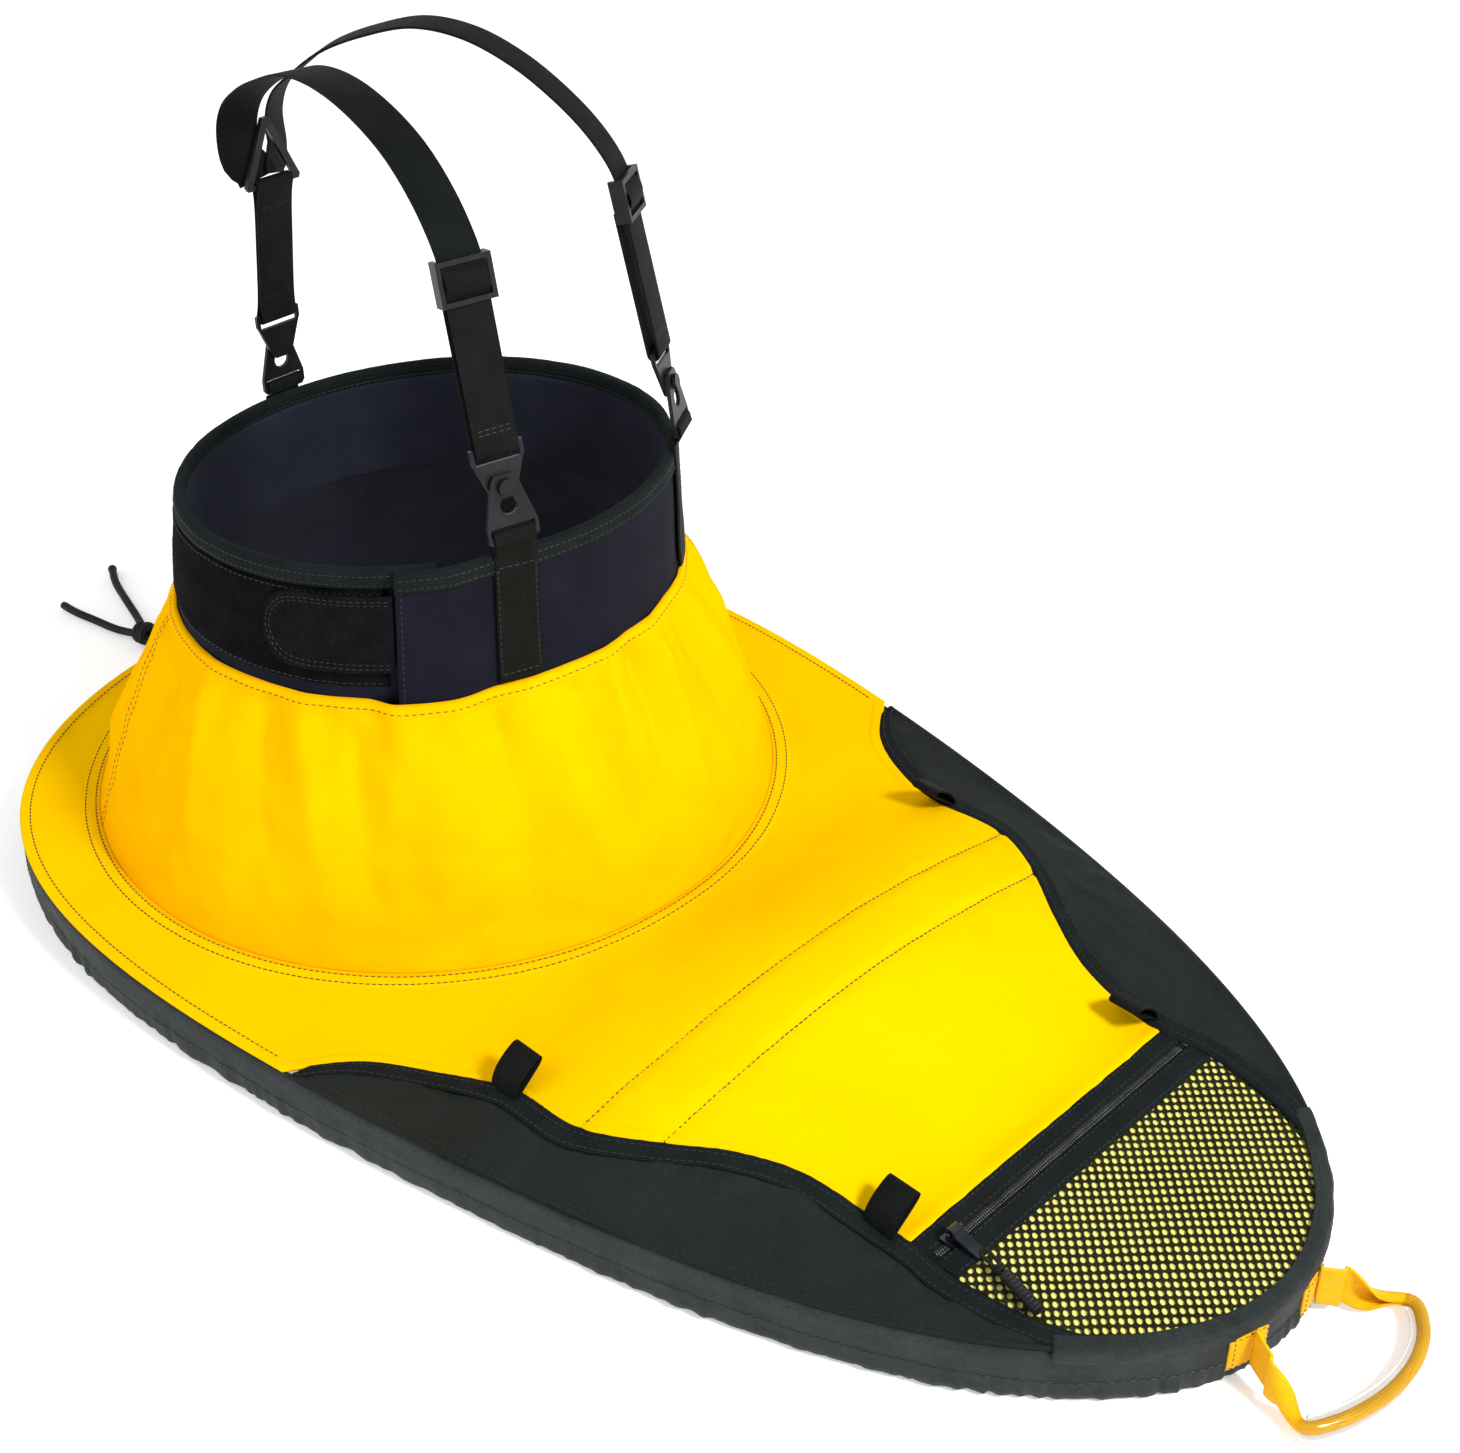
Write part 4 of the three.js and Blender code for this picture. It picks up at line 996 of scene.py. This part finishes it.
def tunnel_folds(degrees, s):
    total = 0.0
    brim = 1 - smooth(s, 0.86, 0.985)
    for at, wide, height, drift in FOLDS:
        gap = (degrees - at - drift * (1 - s) * 1.6 + 180) % 360 - 180
        spread = wide * (1 + 1.1 * (1 - s))
        ridge = exp(-sqrt((gap / spread) ** 2 + 0.03) * 1.5)
        total += 2.5 * height * (ridge - 0.12) * smooth(s, 0.02, 0.5) * (0.12 + 0.88 * brim)
    gathers = sin(radians(degrees * 31 + 75 * rough(degrees / 26, 0.3)))
    gathered = clamp(0.55 + rough(degrees / 40, 6.1)) + 0.6 * exp(-((degrees - 8) / 24) ** 2)
    total += 1.5 * gathered * gathers * smooth(s, 0.66, 0.91) * (1 - smooth(s, 0.93, 0.99))
    a = radians(degrees)
    total += 2.2 * rough(2.4 * cos(a), 2.4 * sin(a), s * 1.9, 3) * smooth(s, 0, 0.12) * brim
    total += 0.8 * rough(8 * cos(a), 8 * sin(a), s * 6, 2) * smooth(s, 0, 0.12) * brim
    return total


def tunnel_at(degrees, s, out=0.0):
    signed = (degrees + 180) % 360 - 180
    a = radians(degrees)
    foot = ellipse(*FOOT, a, 0)
    brim = ellipse(*band_ring(0.08), a, 1.2 + overlap_lift(signed) + band_wave(degrees, 0.08))
    puff = 5 * sin(pi * clamp(s)) + tunnel_folds(signed, s) + out
    x = lerp(foot.x, brim.x, s) + puff * cos(a)
    y = lerp(foot.y, brim.y, s) + puff * sin(a)
    top = 190 + 0.02 * (x - BAND_FOOT[0])
    return V(x, y, lerp(DECK_Z + 0.1, top, s))


def tunnel_point(u, v):
    hem = 0.9 * smooth(v, 0.945, 0.955) - 1.2 * smooth(v, 0.985, 1.0)
    return tunnel_at(360 * u, v, hem)


tunnel = grid("tunnel_cloth", 480, 72, tunnel_point, span(1250, 175), TUNNEL, "skirt",
              closed_u=True, thick=1.2, face="out")
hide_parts("tunnel")


def lining_point(u, v):
    """Runs up inside the tunnel and on over the inner side of the band."""
    degrees = 360 * u
    signed = (degrees + 180) % 360 - 180
    if v < 0.66:
        s = v / 0.66 * 0.93
        behind = 1.5 + 3.6 * smooth(s, 0.5, 0.93) + overlap_lift(signed) * smooth(s, 0.3, 0.93)
        return tunnel_at(degrees, s, -behind)
    h = lerp(0.0, 0.885, (v - 0.66) / 0.34)
    p = ellipse(*band_ring(h), radians(degrees), band_wave(degrees, h) - 3.9)
    return V(p.x, p.y, band_height(h, p.x))


lining = grid("tunnel_lining", 300, 60, lining_point, span(1250, 245), LINING, "skirt",
              closed_u=True, thick=0.7, face="out")


def tunnel_normal(degrees):
    return spoke(degrees, 0.45).normalized()


runs = [[(tunnel_at(d, 0.968, 1.0), tunnel_normal(d)) for d in range(0, 361, 2)]]
for at in (-119.0, -120.6, 61.0, 59.4):
    runs.append([(tunnel_at(at + 3.5 * (1 - s / 40), s / 40, 0.15), tunnel_normal(at)) for s in range(0, 39)])
stitches("tunnel_thread", runs, THREAD, "skirt", 2.8, 1.5, 0.65, 0.25)
foot_welt = [ellipse(*FOOT, 2 * pi * i / 240, 0.5) + UP * (DECK_Z + 0.5) for i in range(240)]
tube("tunnel_foot_welt", foot_welt, 0.9, TUNNEL, "skirt", 8, closed=True)

# ---- waistband
band = grid("waistband_neoprene", 330, 16,
            lambda u, v: along_band(lerp(BAND_START, BAND_STOP, u), v, 0),
            span(920, 84), NEOPRENE, "skirt", thick=3.4, face="out")
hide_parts("waistband")
BINDING = [(1.5, -9.6), (1.9, -8), (1.7, -4), (1.6, -0.6), (0.9, 0.9), (-0.8, 1.6), (-2.8, 1.6), (-4.4, 0.8),
           (-5.1, -0.8), (-5.0, -8), (-4.6, -9.4), (-3.9, -9.0), (-3.75, -0.2), (0.25, -0.2), (0.35, -9.2)]


def binding_strip(u, v):
    out, rise = on_cut(BINDING, v)
    degrees = lerp(BAND_START, BAND_STOP, u)
    return along_band(degrees, 1, out + 0.25 * rough(degrees / 3.5, v * 4, 1.0, 2), rise)


rim = grid("waistband_rim", 420, 30, binding_strip, turned(40, 920), TAPE, "skirt",
           closed_v=True, smooth_angle=75)
outward(rim)
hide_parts("waistband_binding")


def band_row(start, stop, h, out, step=1.2):
    count = int(abs(stop - start) / step) + 2
    row = []
    for i in range(count):
        d = lerp(start, stop, i / (count - 1))
        row.append((along_band(d, h, out), spoke(d, 0.1).normalized()))
    return row


LOW_ROW, HIGH_ROW = 1 - 7.4 / BAND_TALL, 1 - 2.2 / BAND_TALL
rows = [band_row(BAND_START + 0.5, BAND_STOP - 0.5, h, out)
        for h, out in ((LOW_ROW, 2.0), (HIGH_ROW, 1.9), (LOW_ROW, -5.1))]
rows[2] = [(point, -normal) for point, normal in rows[2]]
stitches("rim_thread", rows, THREAD_GREY, "skirt", 2.4, 1.4, 0.55, 0.2)
end_at = BAND_START + 1.2
end_row = [(along_band(end_at, lerp(0.02, 0.9, k / 29), 0.05), spoke(end_at)) for k in range(30)]
stitches("band_end_thread", [end_row], THREAD_GREY, "skirt", 2.4, 1.4, 0.55, 0.25)


def field_point(u, v):
    raised = 1.9 * (1 - abs(2 * v - 1) ** 16) * (1 - abs(2 * u - 1) ** 60)
    out = 0.3 + raised + 0.25 * rough(u * 160, v * 30, 3.0, 2)
    return along_band(lerp(192, 313, u), lerp(0.17, 0.88, v), out)


field = grid("loop_field_pile", 200, 30, field_point, span(320, 60), PILE, "skirt",
             thick=0.4, face="out")
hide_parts("waistband_loop_field")
stitches("field_thread", [band_row(193, 312, h, 2.15) for h in (0.2, 0.85)], THREAD_GREY, "skirt",
         2.6, 1.5, 0.6, 0.25)

TAB_ROOT, TAB_SWEEP = 314.4, 30
TAB_LONG, TAB_WIDE = 78, 46
TAB_ROUND = 0.7  # where its rounded end begins


def tab_end(u):
    return sqrt(max(1 - (max(u - TAB_ROUND, 0) / 0.3) ** 2.4, 0))


def tab_point(u, v, out=5.2):
    h = 0.58 + (v - 0.5) * 0.56 * tab_end(u)
    rim_gap = min(v, 1 - v) * TAB_WIDE * tab_end(u)
    border = 1 - smooth(rim_gap, 4.5, 6.0) if u < 0.97 else 1
    dip = -0.7 * (1 - border) + 0.22 * rough(u * 60, v * 30, 1.7, 2)
    crest = 0.5 * (1 - smooth(rim_gap, 0.0, 1.6))
    return along_band(TAB_ROOT - TAB_SWEEP * u, h, out + 1.5 * (1 - u) + dip - crest)


tab = grid("waist_tab_cloth", 80, 40, tab_point, span(TAB_LONG, TAB_WIDE), HOOKS_MAT, "waist_tab",
           thick=2.0, face="out")
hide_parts("waist_tab")
tab_rows = []
for inset in (3.0, 5.4):
    row = []
    for i in range(120):
        t = i / 119
        edge = inset / TAB_WIDE
        if t < 0.36:
            u, v = lerp(0.02, TAB_ROUND, t / 0.36), edge
        elif t > 0.64:
            u, v = lerp(TAB_ROUND, 0.02, (t - 0.64) / 0.36), 1 - edge
        else:
            f = (t - 0.36) / 0.28 * pi
            u = TAB_ROUND + (0.3 - inset / TAB_LONG) * sin(f)
            v = 0.5 - 0.5 * cos(f) * (1 - 2 * edge) / max(tab_end(u), 0.45) * 0.98
        p = tab_point(clamp(u, 0, 0.985), clamp(v, 0.02, 0.98), 5.35)
        row.append((p, spoke(TAB_ROOT - TAB_SWEEP * u)))
    tab_rows.append(row)
stitches("waist_tab_thread", tab_rows, THREAD_GREY, "waist_tab", 2.4, 1.4, 0.55, 0.3)


# ---- hooks
class Hook:
    """The line up one hook: at(n, s, x) is n out from it, s up it and x across it."""

    def __init__(self, foot, head, across):
        self.foot = V(*foot)
        self.up = (V(*head) - self.foot).normalized()
        self.out = spoke(across).cross(self.up).normalized()
        self.side = -self.up.cross(self.out)

    def at(self, n, s, x=0.0):
        return self.foot + self.side * x + self.out * n + self.up * s


HOOKS = {
    "right": Hook((-73.5, -50, 282), (-104.5, -46, 426), 74),
    "left": Hook((-101, 101.5, 282), (-130.5, 90, 430), 122),
    "rear": Hook((-351, 0, 262), (-351, 0, 402), -90),
}
ANCHOR_AT = {"right": (-19.5, 5), "left": (43, 5), "rear": (180, 2)}
BODY_OF = {"right": "harness", "left": "harness", "rear": "skirt"}

for name, (degrees, rise) in ANCHOR_AT.items():
    hook = HOOKS[name]
    spread = in_degrees(WEBBING / 2 / BAND_TOP[2])

    def tape(u, v, degrees=degrees, spread=spread, rise=rise):
        across = 1 - abs(2 * u - 1) ** 14
        h = lerp(0.1, 1 + rise / BAND_TALL, v)
        return along_band(lerp(degrees - spread, degrees + spread, u), h, 2.0 + 1.2 * across)
    strip = grid(f"anchor_tape_web_{name}", 24, 60, tape, span(25, 80), WEB, "skirt",
                 thick=1.3, face="out")
    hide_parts(f"anchor_tape_{name}")
    rows = [band_row(degrees - spread * 0.85, degrees + spread * 0.85, h, 3.35, 0.6) for h in (0.93, 0.16)]
    for d in (degrees - spread * 0.86, degrees + spread * 0.86):
        rows.append([(along_band(d, lerp(0.16, 0.93, k / 20), 3.3), spoke(d, 0.1)) for k in range(21)])
    stitches(f"anchor_thread_{name}", rows, THREAD_GREY, "skirt", 2.4, 1.3, 0.55, 0.22)

    middle, turn_r = 2.8, 2.4
    bar_top = STUD_S - 30 + 4.6
    path = [hook.at(middle - turn_r, s) for s in (1.4, 3.2, bar_top)]
    for k in range(1, 8):
        a = pi * k / 8
        path.append(hook.at(middle - turn_r * cos(a), bar_top + turn_r * sin(a)))
    path += [hook.at(middle + turn_r, s) for s in (bar_top, 3.2, 1.4)]
    loop = ribbon(f"anchor_fold_{name}", path, hook.side, WEB, BODY_OF[name], width=24.6, thick=1.3)
    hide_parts(f"anchor_loop_{name}")
    if name != "rear":
        # The webbing between the band and the hook, baked in place and attached to no body.
        for k, offset in enumerate((-turn_r, turn_r)):
            top = hook.at(middle + offset, 1.8)
            low = along_band(degrees, 1 + rise / BAND_TALL, 2.6 + 0.4 * k)
            line = Spline([low - UP * 4, low, low.lerp(top, 0.5) + hook.out * 0.4, top,
                           hook.at(middle + offset, 3.0)]).spaced(14)
            bridge = ribbon(f"anchor_bridge_{name}_{k}", line, hook.side, WEB, None, width=24.2, thick=1.1)
            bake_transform(bridge)


def bevelled(cad, width, segments, material):
    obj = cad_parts[cad]
    bevel = obj.modifiers.new("edges", "BEVEL")
    bevel.width = width * MM
    bevel.segments = segments
    bevel.limit_method = "ANGLE"
    bevel.angle_limit = radians(35)
    bevel.harden_normals = False
    dress(cad, material)


def dress(cad, material):
    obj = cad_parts[cad]
    if obj.material_slots:
        for s in obj.material_slots:
            s.link = "OBJECT"
            s.material = material
    else:
        obj.data.materials.append(material)


for name in ("right", "left", "rear"):
    bevelled(f"keyhole_plate_{name}", 0.45, 2, PLASTIC)
    bevelled(f"stud_plate_{name}", 0.45, 2, PLASTIC)
for name in ("right", "left"):
    bevelled(f"adjuster_{name}", 1.1, 4, PLASTIC)
bevelled("harness_ring", 0.8, 3, PLASTIC)
dress("deck_stay", BATTEN)


# The rear stud's domed head: (radius, height) of each ring.
STUD_HEAD = [(3.784, -0.9), (4.4, -0.45), (4.4, 0.36), (3.608, 0.9), (1.76, 1.188)]
rear = HOOKS["rear"]
tube("rear_stud_head", [rear.at(5.7 + h, STUD_S) for _, h in STUD_HEAD], [r for r, _ in STUD_HEAD], PLASTIC,
     "rear_hook", 28, smooth_angle=40)
tube("rear_stud_neck", [rear.at(0.8, STUD_S), rear.at(5.2, STUD_S)], 2.1, PLASTIC, "rear_hook", 18)

# ---- harness webbing
SHOULDERS = {
    "right": [(-106.4, -46, 437), (-124, -43, 457), (-151, -39, 476), (-186, -34.6, 489), (-222, -29.8, 494),
              (-256, -25, 491), (-288, -20.5, 480), (-314, -17, 468), (-334, -15.4, 453), (-343.5, -14.5, 436),
              (-343, -14, 417)],
    "left": [(-133, 89.4, 441), (-146, 85, 458), (-164, 77.8, 475), (-186, 69.4, 490), (-214, 59.6, 501),
             (-244, 48.8, 503.4), (-275, 37, 495), (-302, 27, 483), (-323, 20.4, 468), (-340, 16, 453),
             (-347.5, 14.5, 436), (-347, 14, 417)],
}

BULGE = [(4.65, -9.0), (4.9, -7.8), (6.6, -5.2), (7.9, -1.5), (7.9, 1.5), (6.6, 5.2), (4.9, 7.8), (4.65, 9.0)]

for name, side in (("right", -1), ("left", 1)):
    hook = HOOKS[name]
    path = [hook.at(-LAYER, lerp(DOUBLED - 14, BAR_S, i / 20)) for i in range(21)]
    for i in range(1, 12):
        a = pi * (1 + i / 12)
        path.append(hook.at(LAYER * cos(a), BAR_S + LAYER * sin(a)))
    path += [hook.at(LAYER, lerp(BAR_S, DOUBLED - 4, i / 20)) for i in range(21)]
    # Both straps end one on the other behind the ring.
    depth = 1.4 if side > 0 else 0.0
    ends = [(-341.6 - depth, side * 8.5, 411), (-340.4 - depth, side * 6.5, 404.6)]
    path += Spline([path[-1]] + SHOULDERS[name] + ends).spaced(104)[1:]
    strap = ribbon(f"shoulder_web_{name}", path, hook.side, WEB, "harness")
    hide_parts(f"shoulder_strap_{name}")

    rows = [[(hook.at(LAYER + 0.85, BAR_S + s, x), hook.out) for x in (-10, -5, 0, 5, 10)] for s in (9, 11.5)]
    stitches(f"shoulder_thread_{name}", rows, THREAD_GREY, "harness", 2.2, 1.2, 0.55, 0.2)

    # Webbing standing up in the adjuster's window.
    bulge = Spline([hook.at(n, ADJUST_S + z) for n, z in BULGE]).spaced(30)
    ribbon(f"adjuster_web_{name}", bulge, hook.side, WEB, f"adjuster_{name}", width=24.8, thick=0.9)

ring_bar = V(-336, 0, 402)
low_bar = rear.at(0, BAR_S)
axis = (ring_bar - low_bar).normalized()
outwards = axis.cross(V(0, 1, 0)).normalized()


def round_bar(bar, start):
    """Half a turn of the strap round a bar."""
    turns = [pi * (start + k / 12) for k in range(13)]
    return [bar + (outwards * cos(a) + axis * sin(a)) * LAYER for a in turns]


def between(a, b, sign):
    """One leg of the strap; the legs lie closer together in the middle."""
    return [a.lerp(b, k / 24) + outwards * (sign * (1.0 + 2.2 * abs(k / 12 - 1) ** 6)) for k in range(1, 24)]


loop_path = round_bar(ring_bar, 0) + between(ring_bar, low_bar, -1)
loop_path += round_bar(low_bar, 1) + between(low_bar, ring_bar, 1)
back_web = ribbon("back_web", loop_path, V(0, 1, 0), WEB, "back_strap", closed=True)
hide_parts("back_strap")
rows = []
for t in (0.16, 0.84):
    p = ring_bar.lerp(low_bar, t)
    for sign in (-1, 1):
        rows.append([(p + outwards * (sign * 1.95) + V(0, y, 0), outwards * sign) for y in (-10, -5, 0, 5, 10)])
stitches("back_thread", rows, THREAD_GREY, "back_strap", 2.2, 1.2, 0.55, 0.3)

# ---- zip pull
bevelled("zip_slider", 0.35, 3, METAL)
bevelled("zip_pull", 0.3, 3, COATED)
grip_at = V(ZIP_X + 20.6, PULL_Y, 43.2)
grip_way = spoke(-14)
grip_side = V(-grip_way.y, grip_way.x, 0)


def by_grip(s, n, z=0.0):
    return grip_at + grip_way * s + grip_side * n + UP * z


loop_line = [by_grip(13, 1.2), by_grip(5, 1.8, 0.5), by_grip(-1.5, 1.3, 1.4), by_grip(-3.6, 0, 0.4),
             by_grip(-2.0, -1.3, -1.2), by_grip(5, -1.8), by_grip(13, -1.2)]
pull_cord = tube("zip_cord_loop", Spline(loop_line).spaced(40), 0.95, ELASTIC, "zip_grip", 10)
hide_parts("zip_grip_cord")
for turn_at in (8.6, 10.8):
    wrap = []
    for k in range(20):
        a = pi * k / 10
        wrap.append(by_grip(turn_at + 0.8 * sin(a), 2.5 * cos(a), 1.9 * sin(a)))
    tube(f"zip_cord_knot_{int(turn_at)}", wrap, 1.0, ELASTIC, "zip_grip", 10, closed=True)
# The grip's ribs: (distance along it, radius).
profile = [(13.8, 1.4), (13.9, 2.7), (14.3, 3.2)]
for k in range(9):
    s = 15.2 + 2.75 * k
    profile += [(s, 3.35), (s + 1.35, 3.35), (s + 1.6, 2.85), (s + 2.45, 2.85), (s + 2.7, 3.35)]
profile += [(40.2, 3.3), (40.8, 2.9), (41.0, 1.6)]
grip = tube("zip_grip_sleeve", [grip_at + grip_way * s for s, _ in profile], [r for _, r in profile], RUBBER,
            "zip_grip", 20)
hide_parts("zip_grip")

# ---- deck loops
LOOP_LINE = Spline([(-1.5, 0.2), (1.5, 2.4), (6.5, 4.6), (13, 5.4), (19.5, 4.9), (23.6, 3.6), (24.6, 2.0),
                    (22.8, 0.7), (14, -0.2), (6, -0.4), (-1.2, -0.9)]).spaced(60)
for where, seam_x, seam_y, lean in (("rear", 47, 178, 38), ("front", 250, 108.5, 34)):
    for name, side in BOTH:
        tilt = radians(lean)
        foot = V(seam_x, side * (seam_y + 2.5), deck_z(seam_x, seam_y) + 2.7)
        line = []
        for p in LOOP_LINE:
            inward = p.x * cos(tilt) - p.y * sin(tilt)
            line.append(foot + V(0, -side * inward, p.x * sin(tilt) + p.y * cos(tilt)))
        piece = ribbon(f"deck_web_{where}_{name}", line, V(1, 0, 0), WEB, "skirt", width=19.8, thick=1.4)
        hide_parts(f"deck_loop_{where}_{name}")

# ---- grab loop
TUBE_R = 6.5
TUBE_Z = TUBE_R + 0.3
APEX = 482 - TUBE_R
ROUTE = Spline([
    (418.8, -31, 22.5), (436, -37.4, 17), (449, -41.5, 10), (457, -42.5, TUBE_Z), (466.5, -28, TUBE_Z),
    (473.5, -6, TUBE_Z), (APEX, 12, TUBE_Z), (473.6, 32, TUBE_Z), (466, 50, TUBE_Z), (455, 60, TUBE_Z),
    (442, 51, 11), (432, 37, 17.5), (420.4, 23, 22.5),
])
TUBE_FROM, TUBE_TO = 0.235, 0.765


def route_way(u):
    way = ROUTE.at(min(u + 0.004, 1)) - ROUTE.at(max(u - 0.004, 0))
    way.z = 0
    return way.normalized()


def grab_point(u, v):
    way = route_way(u)
    out = V(way.y, -way.x)
    roll = smooth(u, 0.06, TUBE_FROM - 0.02) * (1 - smooth(u, TUBE_TO + 0.02, 0.94))
    bend = max(roll / 2.7, 1e-4)
    a = (v - 0.5) * WEBBING * lerp(1, 0.66, roll) * bend
    r = 1 / bend
    centre = ROUTE.at(u)
    centre.z = lerp(centre.z, TUBE_Z, roll)
    soft = 0.5 * rough(u * 22, v * 3, 0.4, 2) * (1 - roll)
    return centre + out * (r * cos(a) - r * (1 - roll) + soft) + UP * (r * sin(a))


grab = grid("grab_web", 150, 16, grab_point, turned(WEBBING, 190), GOLD_WEB, "grab_loop")
solid = grab.modifiers.new("thickness", "SOLIDIFY")
solid.thickness = 1.4 * MM
solid.offset = 0
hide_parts("grab_webbing")


SIDES, RINGS = 28, 61
verts, faces = [], []
for radius in (6.45, 6.05):
    for i in range(RINGS):
        u = lerp(TUBE_FROM, TUBE_TO, i / (RINGS - 1))
        way, centre = route_way(u), ROUTE.at(u)
        centre.z = TUBE_Z
        for k in range(SIDES):
            a = 2 * pi * k / SIDES
            verts.append(centre + V(way.y, -way.x) * (radius * cos(a)) + UP * (radius * sin(a)))


def corner(shell, i, k):
    return (shell * RINGS + i) * SIDES + k % SIDES


for shell in (0, 1):
    for i in range(RINGS - 1):
        for k in range(SIDES):
            q = [corner(shell, i, k), corner(shell, i + 1, k), corner(shell, i + 1, k + 1), corner(shell, i, k + 1)]
            faces.append(q[::-1] if shell else q)
for i in (0, RINGS - 1):
    for k in range(SIDES):
        q = [corner(0, i, k), corner(0, i, k + 1), corner(1, i, k + 1), corner(1, i, k)]
        faces.append(q[::-1] if i else q)
sleeve_tube = outward(new_object("grab_sleeve", verts, faces, None, CLEAR, "grab_loop", 60))
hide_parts("grab_tube")

for name, centre in (("right", -8.0), ("left", 5.6)):
    def patch(u, v, centre=centre):
        angle = radians(centre + lerp(-3.1, 3.1, u))
        lump = 1.5 * (1 - abs(2 * u - 1) ** 10) * (1 - abs(2 * v - 1) ** 10)
        return hem_frame(angle, 0.6 + lump, lerp(9, 33, v))
    anchor = grid(f"grab_anchor_web_{name}", 24, 24, patch, turned(24, 24), GOLD_WEB, "skirt",
                  thick=0.8, face="out")
    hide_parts(f"grab_anchor_{name}")
    steps = [k / 10 for k in range(11)]
    lines = [[(t, h) for t in steps] for h in (0.1, 0.9)] + [[(w, t) for t in steps] for w in (0.1, 0.9)]
    rows = [[(patch(*at) + V(0.25, 0, 0), V(1, 0, 0)) for at in line] for line in lines]
    stitches(f"grab_anchor_thread_{name}", rows, THREAD, "skirt", 2.2, 1.2, 0.6, 0.3)


# ---- floor and light
# A wide sweep: flat under the skirt, curving up far away.
FLOOR_PROFILE = [(3.0, 0.0), (5.5, 0.0), (6.5, 0.08), (7.5, 0.4), (8.3, 1.0), (8.8, 1.9), (9.0, 3.0), (9.0, 4.2)]
FLOOR_DROP = 0.0006
TURNS = 72
verts = [(spoke(360 * k / TURNS) * r + UP * (z - FLOOR_DROP)) / MM for r, z in FLOOR_PROFILE for k in range(TURNS)]
faces = [list(range(TURNS))]
for ring in range(len(FLOOR_PROFILE) - 1):
    for k in range(TURNS):
        a, b = ring * TURNS + k, ring * TURNS + (k + 1) % TURNS
        faces.append([a, a + TURNS, b + TURNS, b])
FLOOR = shader("floor_white", (0.95, 0.95, 0.95), 0.95, 0.0, Emission_Color=(1, 1, 1, 1), Emission_Strength=0.36)
floor = new_object("floor", verts, faces, None, FLOOR, None)

world = bpy.data.worlds.new("studio")
SCENE.world = world
world.use_nodes = True
sky = world.node_tree.nodes["Background"].inputs
sky["Color"].default_value = (1, 1, 1, 1)
sky["Strength"].default_value = 0.5


def area_light(name, position, target, size, power):
    data = bpy.data.lights.new(name, "AREA")
    data.shape = "SQUARE"
    data.size = size
    data.energy = power
    obj = bpy.data.objects.new(name, data)
    SCENE.collection.objects.link(obj)
    way = Vector(target) - Vector(position)
    obj.matrix_world = Matrix.Translation(Vector(position)) @ way.to_track_quat("-Z", "Y").to_matrix().to_4x4()


area_light("key", (1.9, 0.1, 1.9), (0.0, 0, 0.1), 0.5, 62)
area_light("fill", (-1.6, -1.6, 2.0), (-0.1, 0, 0.1), 1.8, 15)
SCENE.view_settings.view_transform = "Standard"
SCENE.view_settings.look = "None"
